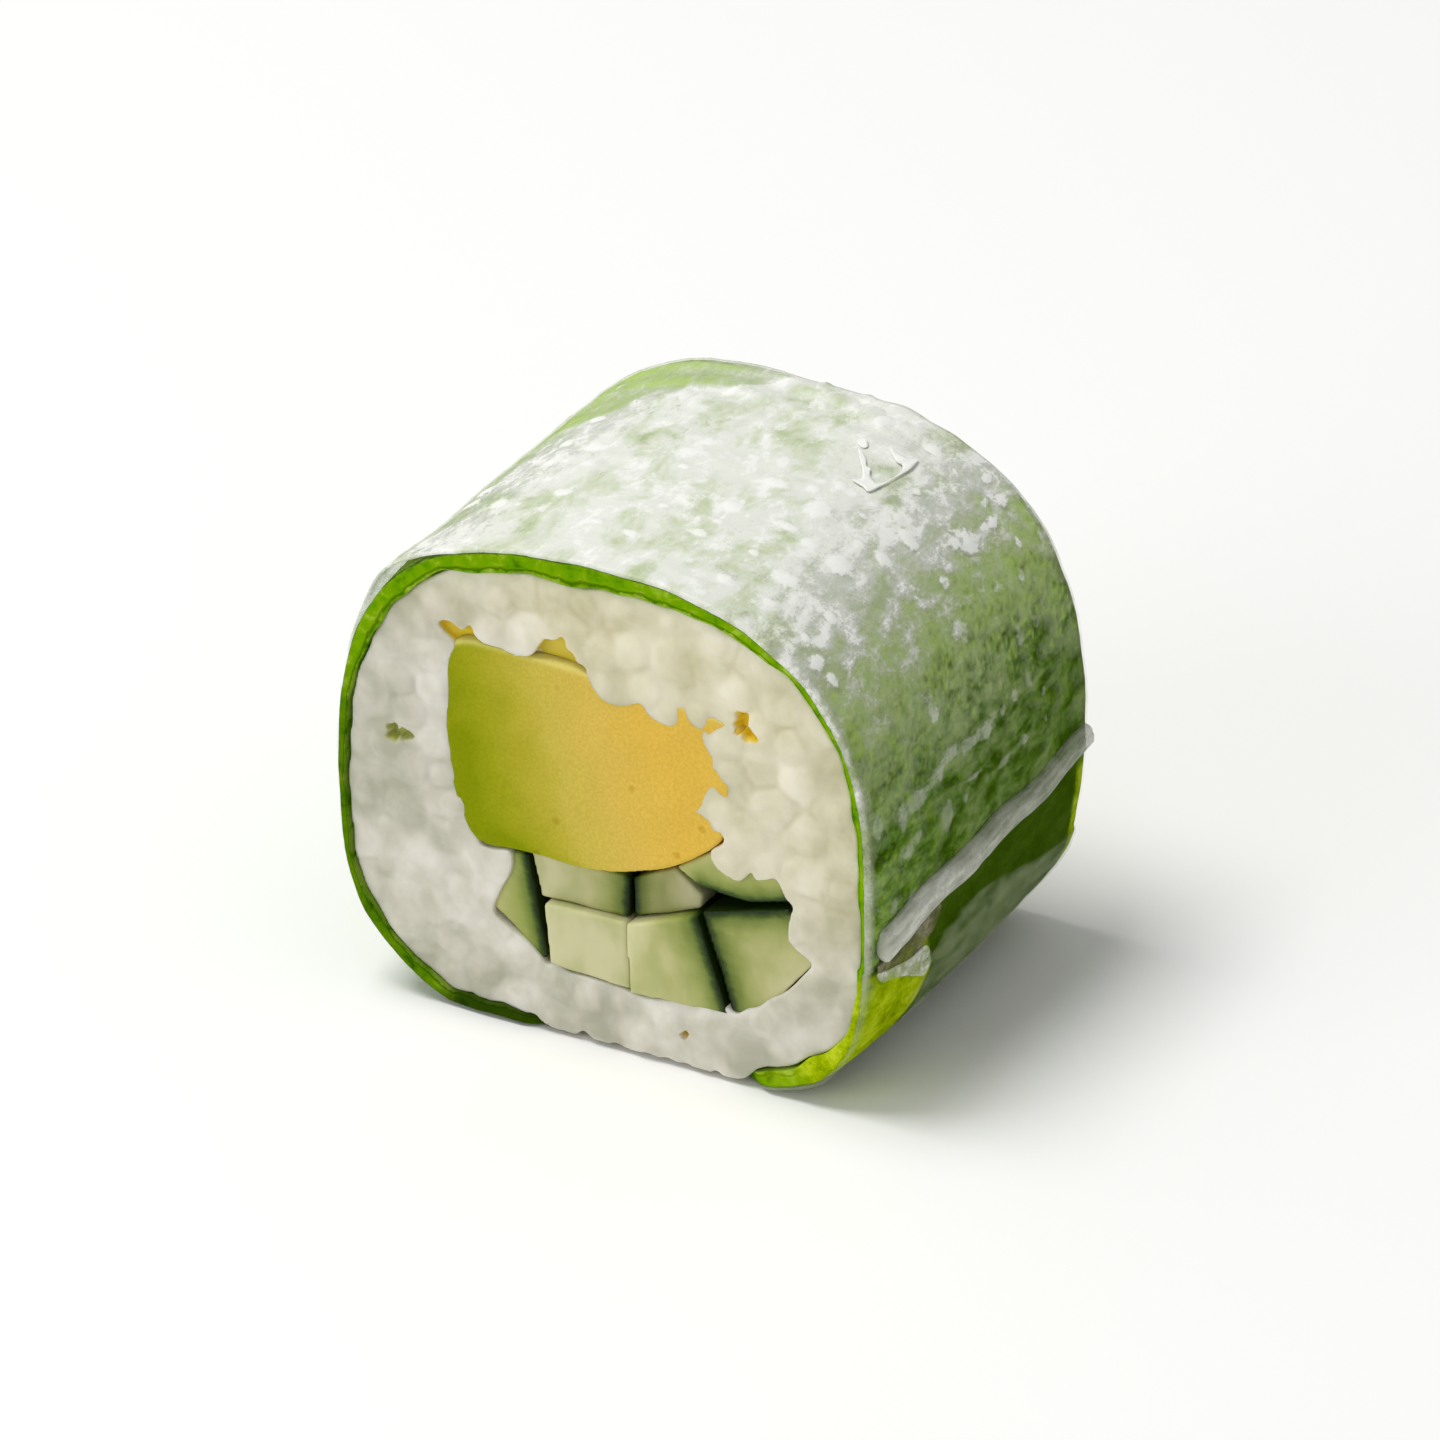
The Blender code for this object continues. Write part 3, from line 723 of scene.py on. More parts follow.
def rice_material(settings):
    """Cooked sushi rice, pressed and cut: grains milky at the heart, with painted shade where they meet."""
    made, tree, shader = new_material(
        "cooked_sushi_rice",
        {
            "Roughness": 0.4,
            "Specular IOR Level": 0.35,
            "Subsurface Radius": (0.0012, 0.0011, 0.0009),
            "Subsurface Scale": 1.0,
        },
    )
    tone, warmth, crevice, pit, amber = (
        attribute_node(tree, name) for name in ("tone", "warmth", "crevice", "pit", "amber")
    )
    cloud = noise_node(tree, object_place(tree), 2.2, 3.0, 0.5, 0.3)
    mixed = math_node(tree, "MULTIPLY_ADD", math_node(tree, "SUBTRACT", cloud, 0.5), 1.3, tone)
    # clouds of about 2 mm where the pressed rice is glassy
    cool = ramp_node(
        tree, mixed, (0.0, colour("#b2b19e")), (0.45, settings.cool_colour), (0.95, colour("#ebe8e0"))
    )
    warm = ramp_node(
        tree, mixed, (0.0, colour("#c5bf96")), (0.45, settings.warm_colour), (0.95, colour("#ede7d0"))
    )
    shade = mix_node(tree, warmth, cool, warm)
    # painted shade: the rice is painted darker in the crevices where the grains meet
    painted_crevice_shade = mix_node(tree, warmth, colour("#9b9d84"), colour("#b3a667"))
    shade = mix_node(tree, math_node(tree, "MULTIPLY", crevice, 0.22), shade, painted_crevice_shade)
    # painted shade and painted amber light in the hollows, for the light that comes through the avocado
    pit_shade_and_light = mix_node(tree, amber, colour("#a3ad5a"), colour("#ecca08"))
    shade = mix_node(tree, pit, shade, pit_shade_and_light)
    tree.links.new(shade, shader.inputs["Base Color"])
    tree.links.new(range_node(tree, pit, 0.0, 0.5, 0.5, 0.0), shader.inputs["Subsurface Weight"])
    add_bump(tree, shader, noise_node(tree, object_place(tree), 0.9, 3.0), 0.3, 0.08)
    return made


def avocado_material(settings):
    """Ripe avocado flesh: green under the skin, butter yellow at the stone, with a few darker flecks."""
    made, tree, shader = new_material(
        "ripe_avocado_flesh",
        {
            "Roughness": 0.45,
            "Specular IOR Level": 0.02,
            "Subsurface Weight": 0.15,
            "Subsurface Radius": (0.001, 0.0007, 0.0001),
            "Subsurface Scale": 1.0,
        },
    )
    place = object_place(tree)
    cloud = math_node(tree, "SUBTRACT", noise_node(tree, place, 3.2, 4.0), 0.5)
    ripe = math_node(tree, "MULTIPLY_ADD", cloud, 0.22, attribute_node(tree, "ripeness"))
    green, yellow, deep = settings.green_colour, settings.yellow_colour, settings.stone_colour
    flesh = ramp_node(
        tree,
        ripe,
        (0.03, green),
        (0.12, colour("#a3a51c")),
        (0.25, colour("#bab036")),
        (0.4, yellow),
        (0.64, colour("#dfc05a")),
        (0.9, deep),
    )
    # flecks of about 0.3 mm, 2.5 mm apart
    cells = add_node(tree, "ShaderNodeTexVoronoi", inputs={"Vector": place, "Scale": 380.0})
    fleck = range_node(tree, cells.outputs["Distance"], 0.04, 0.14, 0.5, 0.0)
    flesh = tinted(tree, fleck, flesh, "#d9c57a")
    grain = range_node(tree, noise_node(tree, place, 0.22, 3.0, 0.7), 0.3, 0.7, 0.0, 0.5)
    flesh = tinted(tree, grain, flesh, "#dfdcc4")
    # painted highlight: the top edge is painted pale
    flesh = mix_node(tree, attribute_node(tree, "rim"), flesh, colour("#e2db84"))
    tree.links.new(flesh, shader.inputs["Base Color"])
    add_bump(tree, shader, noise_node(tree, place, 0.4, 3.0), 0.25, 0.06)
    return made


def cucumber_material(settings):
    """Cut cucumber: pale wet flesh with faint fibres that greens towards a dark skin."""
    made, tree, shader = new_material(
        "cut_cucumber",
        {
            "Roughness": 0.32,
            "Specular IOR Level": 0.2,
            "Subsurface Weight": 0.2,
            "Subsurface Radius": (0.0008, 0.001, 0.0004),
            "Subsurface Scale": 1.0,
        },
    )
    fibres = noise_node(tree, object_place(tree, (0.8, 1.0, 1.6)), 0.9, 5.0)
    from_skin = math_node(
        tree, "MULTIPLY_ADD", math_node(tree, "SUBTRACT", fibres, 0.5), 0.09, attribute_node(tree, "skin")
    )
    flesh = ramp_node(
        tree,
        from_skin,
        (0.02, settings.skin_colour),
        (0.055, colour("#364d10")),
        (0.11, colour("#75843a")),
        (0.24, colour("#a0a660")),
        (0.5, colour("#bfbd86")),
        (0.8, settings.flesh_colour),
    )
    # watery streaks along the cut
    streaks = noise_node(tree, object_place(tree, (1.2, 1.0, 0.8)), 2.4, 2.5, 0.45, 0.2)
    watery = range_node(tree, streaks, 0.3, 0.75, 0.0, 0.75)
    flesh = tinted(tree, watery, flesh, "#ccd6a6")
    flesh = mix_node(tree, 1.0, flesh, attribute_node(tree, "tint"), "MULTIPLY")
    tree.links.new(flesh, shader.inputs["Base Color"])
    add_bump(tree, shader, fibres, 0.3, 0.1)
    return made


# The film


def seam_angle(y):
    return np.radians(np.interp(y, SEAM_PLACES, SEAM_ANGLES))


def blister_list():
    """The blisters that show and as many like them on the far side."""
    draw = random.Random(SEED)
    far = [
        (draw.uniform(120, 232), draw.uniform(-12.5, 12.5), draw.uniform(0.35, 1.0), draw.uniform(0.3, 0.8))
        for _ in range(46)
    ]
    return [*BLISTERS, *far]


def blister_nearness(angle, y):
    """1 at the middle of a blister and 0 at its edge."""
    near = np.full(len(y), -1.0)
    for centre, place, half_round, half_along in blister_list():
        side = 1.35 if abs(centre) < 32 else 1.0
        around = np.radians(turn_between(angle, centre)) * HALF_WIDTH / (half_round * side**0.4)
        near = np.maximum(near, 1 - np.hypot(around, (y - place) / (half_along * side)))
    return near


def beside_lower_edge(points, angle):
    """How far points of the film are above its inner layer's edge, and whether they are below the seam."""
    x, y, z = points.T
    below = turn_between(angle - seam_angle(y), 0)
    height = z - np.interp(y, LOWER_EDGE_PLACES, LOWER_EDGE_HEIGHTS)
    return height, (x > 0) & (below < 0) & (below > -72)


def crease_closeness(angle, y, width):
    around = np.stack([np.degrees(angle) % 360 * math.radians(HALF_WIDTH), y], axis=1)
    paths = [[(a * math.radians(HALF_WIDTH), b) for a, b in path] for path in CREASES]
    return np.exp(-((np.min([path_distance(around, path) for path in paths], axis=0) / width) ** 2))


def wrap_relief(angle, y):
    """How far the leaf and the film on it stand out from the roll's plain form: waves and wrinkles."""
    flat = roll_points(angle, y, np.zeros_like(angle))
    x, z = flat[:, 0], flat[:, 2]
    wrinkles = noise_at(flat * (0.5, 1.4, 0.5), 0.9)
    relief = 0.05 * np.sin(3 * angle + y / 9) + 0.04 * np.sin(8 * angle - y / 5)
    relief += 0.06 * wrinkles + 0.025 * noise_at(flat, 1.7, 3.0)
    # the back of the top is puckered across the roll
    pucker = smooth_step(y, 5, 11) * smooth_step(z, 24, 30)
    relief += 0.1 * pucker * np.sin(y * 2.2 + 2.2 * np.sin(x * 0.28) + 1.5 * wrinkles)
    # the film's inner layer shows as a low step under the seam
    height, below_seam = beside_lower_edge(flat, angle)
    return relief - 0.12 * smooth_step(height, -0.15, 0.15) * below_seam


def film_relief(angle, y, blister):
    """How far the film alone stands out: blisters, creases and a loose edge."""
    relief = 0.07 * smooth_step(blister, 0.0, 0.7)
    relief += 0.15 * crease_closeness(angle, y, 0.22)
    # the cut edge stands off the leaf at the upper left
    from_cut = y + CUT
    relief += 0.6 * np.exp(-((turn_between(angle, 136) / 9) ** 2)) * np.exp(-((from_cut / 4) ** 2))
    return relief + wrap_relief(angle, y)


def film_haze(points, angle, y):
    """How much the film hides, and how patchily, at points of it."""
    degrees = (np.degrees(angle) + 90) % 360 - 90
    share = smooth_step(y, -9, 11)
    # painted highlight: the film is painted whitest on the top, partly for its milkiness and partly for the
    # sheen of the light from above
    front, back = (np.interp(degrees, HAZE_ANGLES, values) for values in (HAZE_AND_SHEEN_FRONT, HAZE_AND_SHEEN_BACK))
    haze = front + (back - front) * share
    patchy = np.interp(degrees, HAZE_ANGLES, PATCHES)
    z = points[:, 2]
    # the back of the top's left side is clearer, with a crisp slanting edge
    clear = smooth_step(y - np.interp(degrees, CLEAR_ANGLES, CLEAR_PLACES), -0.1, 0.5)
    clear *= (degrees > 90) * (1 - smooth_step(degrees, 140, 165))
    haze -= 0.36 * clear * haze
    patchy += 0.06 * clear
    haze += 0.06 * crease_closeness(angle, y, 0.25)
    # under the seam the film is clear down to its inner layer's edge, and greyer below it
    height, below_seam = beside_lower_edge(points, angle)
    layer = 1 - smooth_step(height, -0.25, 0.2)
    lime = lime_corner(angle, y)
    haze = np.where(below_seam, (0.34 * layer - 0.09) * (1 - lime) - 0.06 * lime, haze)
    patchy = np.where(below_seam, 0.1 * layer + 0.01, patchy)
    # streaks along the roll in the inner layer
    streaks = noise_at(points * (1.4, 0.3, 1.4), 1.3, 31.0)
    haze += np.where(below_seam, 0.2 * layer * streaks, 0)
    # the cut edge is a thick pale strip, palest on the top
    strip = 0.62 + 0.36 * smooth_step(z, 20, 27)
    strip -= 0.35 * smooth_step(-degrees, 15, 25)
    strip *= 1 - smooth_step(degrees, 138, 156)
    strip = np.where(y < 0, strip, 0.25 * strip)
    edge = np.exp(-(((CUT - np.abs(y)) / 0.42) ** 4)) * strip
    haze = np.maximum(haze, haze + (1.0 - haze) * edge)
    # on the left it ends clear
    haze = np.where(degrees > 156, haze * (1 - np.exp(-(((y + CUT) / 0.6) ** 2))), haze)
    return haze, patchy


def film_shape(angle, share, depth):
    front = -CUT + wrap_recess(angle, True)
    back = CUT - wrap_recess(angle, False)
    y = front + (back - front) * share
    blister = blister_nearness(angle, y)
    thickness = film_thickness(angle, y)
    points = roll_points(angle, y, depth * thickness - film_relief(angle, y, blister))
    points[:, 2] = np.maximum(points[:, 2], depth * thickness)
    haze, patchy = film_haze(points, angle, y)
    return points, {"haze": haze, "patchy": patchy, "blister": blister}


def set_film_attributes(mesh, haze, patchy):
    """What the film's material reads, on a piece without blisters."""
    for name, value in (("haze", haze), ("patchy", patchy), ("blister", -1.0)):
        set_attribute(mesh, name, np.zeros(len(mesh.vertices)) + value)


def rolled_bead(half_width, height):
    """The film's rolled edge: a flattened, lumpy roll along the right side, rounded at both ends."""
    start, end = -CUT + BEAD_FROM_FRONT, CUT - BEAD_FROM_BACK
    piece, across, along = flat_grid(BEAD_COLUMNS, BEAD_ROWS)
    turn = across * 2 * math.pi
    y = start + (end - start) * along
    taper = np.sqrt(np.clip((y - start) / 0.5, 0, 1)) * np.sqrt(np.clip((end - y) / 0.3, 0, 1))
    lumps = noise_at(np.stack([3 * np.cos(turn), y * 0.9, 3 * np.sin(turn)], axis=1), 1.0)
    twist = noise_at(np.stack([turn * 0, y, turn * 0], axis=1), 0.3, 7.0)
    narrow = half_width * (1 + 0.12 * twist) * (1 - 0.3 * (y - start) / (end - start))
    centre = np.degrees(seam_angle(y) + half_width / HALF_WIDTH) + 0.5 * np.sin(y * 0.7) + 0.5
    angle = np.radians(centre) + narrow * taper * np.cos(turn) / HALF_WIDTH
    lift = height * (1 + 0.12 * lumps) * taper * np.sin(turn)
    set_coordinates(piece.data, roll_points(angle, y, -0.03 - lift) * MM)
    haze = 0.97 - 0.16 * smooth_step(y, -9, 3) - 0.06 * smooth_step(y, 3, 12)
    streaks = noise_at(np.stack([3 * np.cos(turn), y * 0.22, 3 * np.sin(turn)], axis=1), 1.6, 4.0)
    set_film_attributes(piece.data, haze + 0.08 * lumps + 0.1 * streaks, 0.05)
    close_mesh()
    return piece


def film_patch(outline, lift, crumple, haze):
    """A loose bit of film with a crisp outline, crumpled and lying on the roll."""
    corners = smooth_loop([(a * math.radians(HALF_WIDTH), y) for a, y in outline], 4)
    deselect()
    bpy.ops.mesh.primitive_circle_add(vertices=len(corners), radius=1.0, fill_type="NGON")
    piece = bpy.context.object
    set_coordinates(piece.data, np.column_stack([corners, np.zeros(len(corners))]))
    bpy.ops.object.mode_set(mode="EDIT")
    bpy.ops.mesh.select_all(action="SELECT")
    bpy.ops.mesh.quads_convert_to_tris(ngon_method="BEAUTY")
    bpy.ops.mesh.subdivide(number_cuts=3)
    bpy.ops.object.mode_set(mode="OBJECT")
    flat = coordinates(piece.data)
    angle, y = flat[:, 0] / HALF_WIDTH, flat[:, 1]
    edge = outline_distance(flat[:, :2], corners)
    crumples = noise_at(flat * 1.6, 1.0, 13.0)
    inset = -lift - crumple * crumples * smooth_step(-edge, 0, 0.3) - wrap_relief(angle, y)
    set_coordinates(piece.data, roll_points(angle, y, inset) * MM)
    apply_modifier(piece, "SOLIDIFY", thickness=PATCH_THICKNESS * MM, offset=0.0)
    close_mesh()
    set_film_attributes(piece.data, haze, 0.35 if haze < 1 else 0.1)
    return piece


# The leaf


def lime_corner(angle, y):
    """1 in the sour-green corner at the right of the front cut, under the seam."""
    degrees = turn_between(angle, 0)
    reach = np.interp(degrees, LIME_ANGLES, LIME_PLACES)
    sides = smooth_step(degrees, -48, -40) * smooth_step(-degrees, 15.5, 18)
    return smooth_step(reach - y, -0.3, 0.5) * sides


def leaf_shape(angle, share, depth):
    front = -CUT + wrap_recess(angle, True) + 0.05
    back = CUT - wrap_recess(angle, False) - 0.03
    y = front + (back - front) * share
    ripple = noise_at(np.stack([6 * np.cos(angle), y * 0.3, 6 * np.sin(angle)], axis=1), 1.0)
    thickness = leaf_thickness(angle) * (1 + 0.25 * ripple * (depth > 0.5))
    inset = film_thickness(angle, y) + 0.04 + depth * thickness
    points = roll_points(angle, y, inset - wrap_relief(angle, y))
    points[:, 2] = np.maximum(points[:, 2], inset)
    # the cut face is uneven
    near_cut = (share < 0.01) | (share > 0.99)
    points[:, 1] -= np.sign(y) * near_cut * 0.12 * np.maximum(ripple, 0) * depth
    degrees = np.degrees(angle) % 360
    corner = smooth_step(degrees, 303, 312) * (1 - smooth_step(degrees, 330, 342))
    corner = np.where(near_cut, corner * 0.35, 0)
    far = smooth_step(degrees, 322, 330) * (1 - smooth_step(degrees, 348, 352))
    far *= 0.8 * smooth_step(y, 12.2, 12.8)
    lime = np.maximum(lime_corner(angle, y), np.maximum(corner, far))
    # the leaf is darkest where it is folded at the lower left, and along the right of the cut
    fold = smooth_step(degrees, 226, 236) * (1 - smooth_step(degrees, 262, 272)) * (y < 0)
    left = smooth_step(degrees, 150, 172) * (1 - smooth_step(degrees, 226, 236))
    shade = np.maximum(0.9 * fold, 0.45 * left * (y < 0)) * near_cut
    # painted shade: between the seam and the film's inner layer the leaf is painted darkest
    height, below_seam = beside_lower_edge(points, angle)
    shade = np.maximum(shade, 0.88 * below_seam * (1 - lime) * ~near_cut)
    # painted shade: the right side is painted darker towards its middle and back; painted light: the shoulder
    # and top are painted a lighter green
    wander = 16 * noise_at(points, 2.6, 17.0)
    round_way = turn_between(angle, 0) + wander
    right = (1 - smooth_step(np.abs(turn_between(angle, 2) + wander), 14, 42)) * smooth_step(y, -12, 0)
    shade = np.maximum(shade, 0.4 * right)
    upper = smooth_step(round_way, 15, 43) * (1 - smooth_step(round_way, 125, 170))
    shade = np.where(near_cut, shade, shade - (shade + 1) * upper)
    return points, {"depth": depth, "lime": lime, "shade": shade}


# The fillings


def remeshed(piece, voxel, smoothing):
    apply_modifier(piece, "REMESH", mode="VOXEL", voxel_size=voxel)
    if smoothing:
        apply_modifier(piece, "SMOOTH", factor=0.5, iterations=smoothing)


def roughen(piece, height, scale, offset):
    """Moves the piece's points a little along their normals, so that no face is flat."""
    points = coordinates(piece.data) / MM
    shift = height * noise_at(points, scale, offset)
    set_coordinates(piece.data, (points + vertex_normals(piece.data) * shift[:, None]) * MM)


def cut_plane(piece):
    """The piece's points across and up, as its outline was given."""
    points = coordinates(piece.data) / MM
    return np.stack([points[:, 0] - AXIS_X, points[:, 2]], axis=1)


# The rice


def nearest_grains(places, centres, sizes, tones):
    """How far each place is from its grain's edge and the next grain's, and the grains' tones, blended."""
    best = np.full(len(places), np.inf)
    second = np.full(len(places), np.inf)
    total = np.full(len(places), 1e-9)
    blended = np.zeros(len(places))
    for centre, size, tone in zip(centres, sizes, tones):
        away = np.hypot(places[:, 0] - centre[0], places[:, 1] - centre[1]) - size / 2
        closer = away < best
        second = np.where(closer, best, np.minimum(second, away))
        best = np.where(closer, away, best)
        weight = np.exp(-np.maximum(away + 2, 0) / 0.3)
        total += weight
        blended += weight * tone
    return best, second, blended / total


def rice_room(places, outlines, front):
    """Distances from places to the wrap and to the fillings."""
    across, up = places[:, 0], places[:, 1] - AXIS_HEIGHT
    angle = np.arctan2(up, across)
    inset = rice_inset(angle, front)
    reach = outline_radius(angle) + bulge(angle, -CUT if front else CUT)
    to_wrap = np.minimum(reach - inset - np.hypot(across, up), places[:, 1] - inset)
    to_filling = np.min([outline_distance(places, outline) for outline in outlines], axis=0)
    return to_wrap, to_filling


def strewn(tries, allowed, places, apart):
    """Adds tries that keep apart from all places."""
    for place in tries[allowed]:
        if not len(places) or np.min(np.linalg.norm(places - place, axis=1)) > apart:
            places = np.vstack([places, place])
    return places


def grain_places(outlines, pits, front, draw):
    """Places for grains: along the edges first, then as close as they pack between them."""
    placed = np.empty((0, 2))
    tries = np.array([(draw.uniform(-18, 18), draw.uniform(0, 32.5)) for _ in range(14000)])
    to_wrap, to_filling = rice_room(tries, outlines, front)
    free = (to_wrap > 0.75) & (to_filling > 0.9)
    for px, pz, radius, _ in pits:
        free &= np.hypot(tries[:, 0] - px, tries[:, 1] - pz) > radius + 0.3
    edge = free & ((to_filling < 1.3) | (to_wrap < 1.15))
    for allowed, apart in ((edge, 2.7), (free, 2.4), (free, 1.9)):
        placed = strewn(tries, allowed, placed, apart)
    return placed


def grain_sizes(places):
    """Each grain's width, from the distance to its neighbours."""
    gaps = np.linalg.norm(places[:, None] - places[None], axis=2)
    gaps[np.diag_indices(len(places))] = np.inf
    near = np.sort(gaps, axis=1)[:, :3].mean(axis=1)
    return np.clip(near * 1.25, 2.0, 3.4)


def unit_ball():
    """Points and faces of a ball primitive one millimetre wide."""
    deselect()
    bpy.ops.mesh.primitive_ico_sphere_add(subdivisions=3, radius=0.5)
    ball = bpy.context.object
    points = coordinates(ball.data)
    faces = np.array([tuple(p.vertices) for p in ball.data.polygons])
    bpy.data.objects.remove(ball)
    return points, faces


def grain_mesh(name, placed):
    """One mesh of many balls, each turned and stretched into a grain."""
    ball, faces = unit_ball()
    points, corners = [], []
    for centre, size, turn in placed:
        points.append((ball * size) @ np.array(turn).T + centre)
        corners.append(faces + len(ball) * len(corners))
    mesh = bpy.data.meshes.new(name)
    mesh.from_pydata((np.vstack(points) * MM).tolist(), [], np.vstack(corners).tolist())
    made = bpy.data.objects.new(name, mesh)
    bpy.context.scene.collection.objects.link(made)
    return made


def strewn_grains(centres, sizes, outlines, end, draw):
    """A mesh of the grains at one cut, each turned by chance and as large as its room."""
    front = end < 0
    placed = []
    for place, width in zip(centres, sizes):
        to_wrap, to_filling = (d[0] for d in rice_room(place[None], outlines, front))
        room = min(to_wrap + 0.06, to_filling + (0.02 if front else 0.3))
        size = np.array([width, 2.2, width * draw.uniform(1.0, 1.5)])
        size = np.minimum(size, max(2 * room, 1.4))
        tilt = Matrix.Rotation(draw.uniform(-0.4, 0.4), 3, "X")
        turn = tilt @ Matrix.Rotation(draw.uniform(0, math.pi), 3, "Y")
        y = end * (CUT - GRAIN_CENTRE_DEPTH + draw.uniform(-0.12, 0.12))
        placed.append((np.array([place[0] + AXIS_X, y, place[1]]), size, turn))
    return grain_mesh("grains", placed)


def rice_core(cutters, front, near, far, slack):
    """A plain block of rice between two depths, smaller than the space by a slack."""
    angle = np.linspace(0, 2 * math.pi, 200, endpoint=False)
    at_cut = np.full_like(angle, math.copysign(CUT, near))
    ring = roll_points(angle, at_cut, rice_inset(angle, front) + slack)
    core = prism([(p[0] - AXIS_X, p[2]) for p in ring], near, far, 0.0)
    for cutter in cutters:
        apply_modifier(core, "BOOLEAN", operation="DIFFERENCE", object=cutter, solver="EXACT")
    return core


def sliced(points, depth, crevice):
    """The points' depths once the knife has sliced them, a little uneven."""
    start = CUT - SLICE_START
    over = np.maximum(depth - start, 0)
    depth = np.where(over > 0, start + SLICE_GIVE * (1 - np.exp(-over / SLICE_GIVE)), depth)
    facing = smooth_step(depth, CUT - 1.2, CUT - 0.6)
    depth -= 0.03 * crevice * facing
    depth += (0.1 * noise_at(points, 0.3, 11.0) + 0.02 * noise_at(points, 0.9, 5.0)) * facing - 0.05
    return depth


def star_radius(turn, radius, seed):
    """The uneven outline of a hollow between grains."""
    lobes = 0.3 * np.cos(2 * turn + 1.3 * seed) + 0.22 * np.cos(3 * turn + seed)
    lobes += 0.14 * np.cos(7 * turn + 2.3 * seed)
    return radius * (1 + lobes)


def hollowed(plane, depth, front):
    """The points' depths with the hollows dug, how much each is in one, and how amber that is."""
    pit, amber = np.zeros(len(depth)), np.zeros(len(depth))
    for i, (px, pz, radius, warm) in enumerate(FRONT_PITS if front else BACK_PITS):
        aside, above = plane[:, 0] - px, plane[:, 1] - pz
        away = np.hypot(aside, above) / star_radius(np.arctan2(above, aside), radius, i * 1.7)
        near = smooth_step(depth, CUT - 2.6, CUT - 1.6)
        depth = depth - HOLLOW_DEPTH * (1 - smooth_step(away, 0.8, 1.05)) * near
        pit = np.maximum(pit, (1 - smooth_step(away, 1.0, 1.16)) * near)
        amber = np.maximum(amber, warm * (away < 2.5))
    for px, pz, radius, warm in FRONT_DEPTHS if front else ():
        away = np.hypot(plane[:, 0] - px, plane[:, 1] - pz) / radius
        pit = np.maximum(pit, (away < 1) * smooth_step(-depth, 0.55 - CUT, 0.8 - CUT))
        amber = np.maximum(amber, warm * (away < 1.2))
    return depth, pit, amber


def rice_cap(end, outlines, cutters, tight_cutters, voxel):
    """The rice at one cut: grains over a core, fused, smoothed and sliced flat by the knife."""
    front = end < 0
    draw = random.Random(SEED + end)
    centres = grain_places(outlines, FRONT_PITS if front else BACK_PITS, front, draw)
    sizes = grain_sizes(centres)
    grains = strewn_grains(centres, sizes, outlines, end, draw)
    core = rice_core(cutters, front, end * (CUT - 0.33), end * (CUT - 1.2), 0.03)
    backing = rice_core(tight_cutters, front, end * (CUT - 1.05), end * (CUT - RICE_CAP_DEPTH), 0.0)
    deselect()
    for piece in (grains, backing, core):
        piece.select_set(True)
    bpy.context.view_layer.objects.active = core
    bpy.ops.object.join()
    remeshed(core, voxel, 5)

    points = coordinates(core.data) / MM
    plane = cut_plane(core)
    tones = np.array([draw.uniform(*GRAIN_TONES) for _ in centres])
    best, second, tone = nearest_grains(plane, centres, sizes, tones)
    # painted shade: the crevices where grains meet are dug a little and painted darker
    shown = smooth_step(noise_at(points, 0.4, 23.0), -0.02, 0.35)
    crevice = np.exp(-(((second - best) / 0.35) ** 2)) * shown
    depth, pit, amber = hollowed(plane, sliced(points, end * points[:, 1], crevice), front)
    points[:, 1] = end * np.minimum(depth, CUT)
    # the lower edge is uneven where the wrap leaves it bare
    across = points * (1, 0, 0)
    notch = np.maximum(noise_at(across, 0.9, 5.0) + 0.5 * noise_at(across, 0.35, 8.0), 0)
    notch *= 0.9 * smooth_step(depth, CUT - 1.6, CUT - 0.5)
    points[:, 2] = np.maximum(points[:, 2], 0.02) + notch * np.exp(-np.maximum(points[:, 2], 0) / 0.8)
    set_coordinates(core.data, points * MM)

    # painted shade: the rice is painted darker below, at the left and at the right's lower half; it is warmer
    # by the avocado
    x, z = plane.T
    painted_shade = 0.22 * smooth_step(-z, -6, -1) + 0.16 * smooth_step(-x, 9, 14)
    painted_shade += 0.2 * smooth_step(x, 12.5, 16) * (1 - smooth_step(z, 20, 26))
    warmth = 0.8 * smooth_step(x, -12, 4) * smooth_step(z, 4, 18) + 0.5 * smooth_step(z, 22, 30)
    warmth = np.clip(warmth, 0, 0.9)
    shades = {"tone": tone - painted_shade, "warmth": warmth, "crevice": crevice, "pit": pit, "amber": amber}
    for name, values in shades.items():
        set_attribute(core.data, name, values)
    apply_modifier(core, "DECIMATE", ratio=RICE_KEPT)
    return core


# What a user can set


def colour_property(name, description, code):
    return bpy.props.FloatVectorProperty(
        name=name, description=description, size=4, subtype="COLOR", default=colour(code)
    )


class FilmSettings(bpy.types.PropertyGroup):
    """The rice paper."""

    bead_width: bpy.props.FloatProperty(
        name="Rolled edge width", description="Width of the film's rolled edge", default=0.0021, unit="LENGTH"
    )
    bead_height: bpy.props.FloatProperty(
        name="Rolled edge height",
        description="How far the rolled edge stands out",
        default=0.0006,
        unit="LENGTH",
    )
    milky_colour: colour_property("Milky film", "Film with air under it", "#e2e4da")
    thin_colour: colour_property("Clear film", "Film that clings to the leaf", "#d2deae")
    rolled_colour: colour_property("Rolled film", "The rolled edge's pale parts", "#dadbce")
    rolled_dark_colour: colour_property("Rolled film, dark", "The rolled edge's dark parts", "#556838")
    # painted highlight: the loose bits' near white also stands in for the highlights on their glossy edges
    torn_and_highlight_colour: colour_property("Torn film", "Loose bits with air under them", "#f3f4ee")
    stained_colour: colour_property("Stained film", "Film green from the leaf's juice", "#a8a37c")
    stained_dark_colour: colour_property("Stained film, dark", "Its clear parts", "#757238")


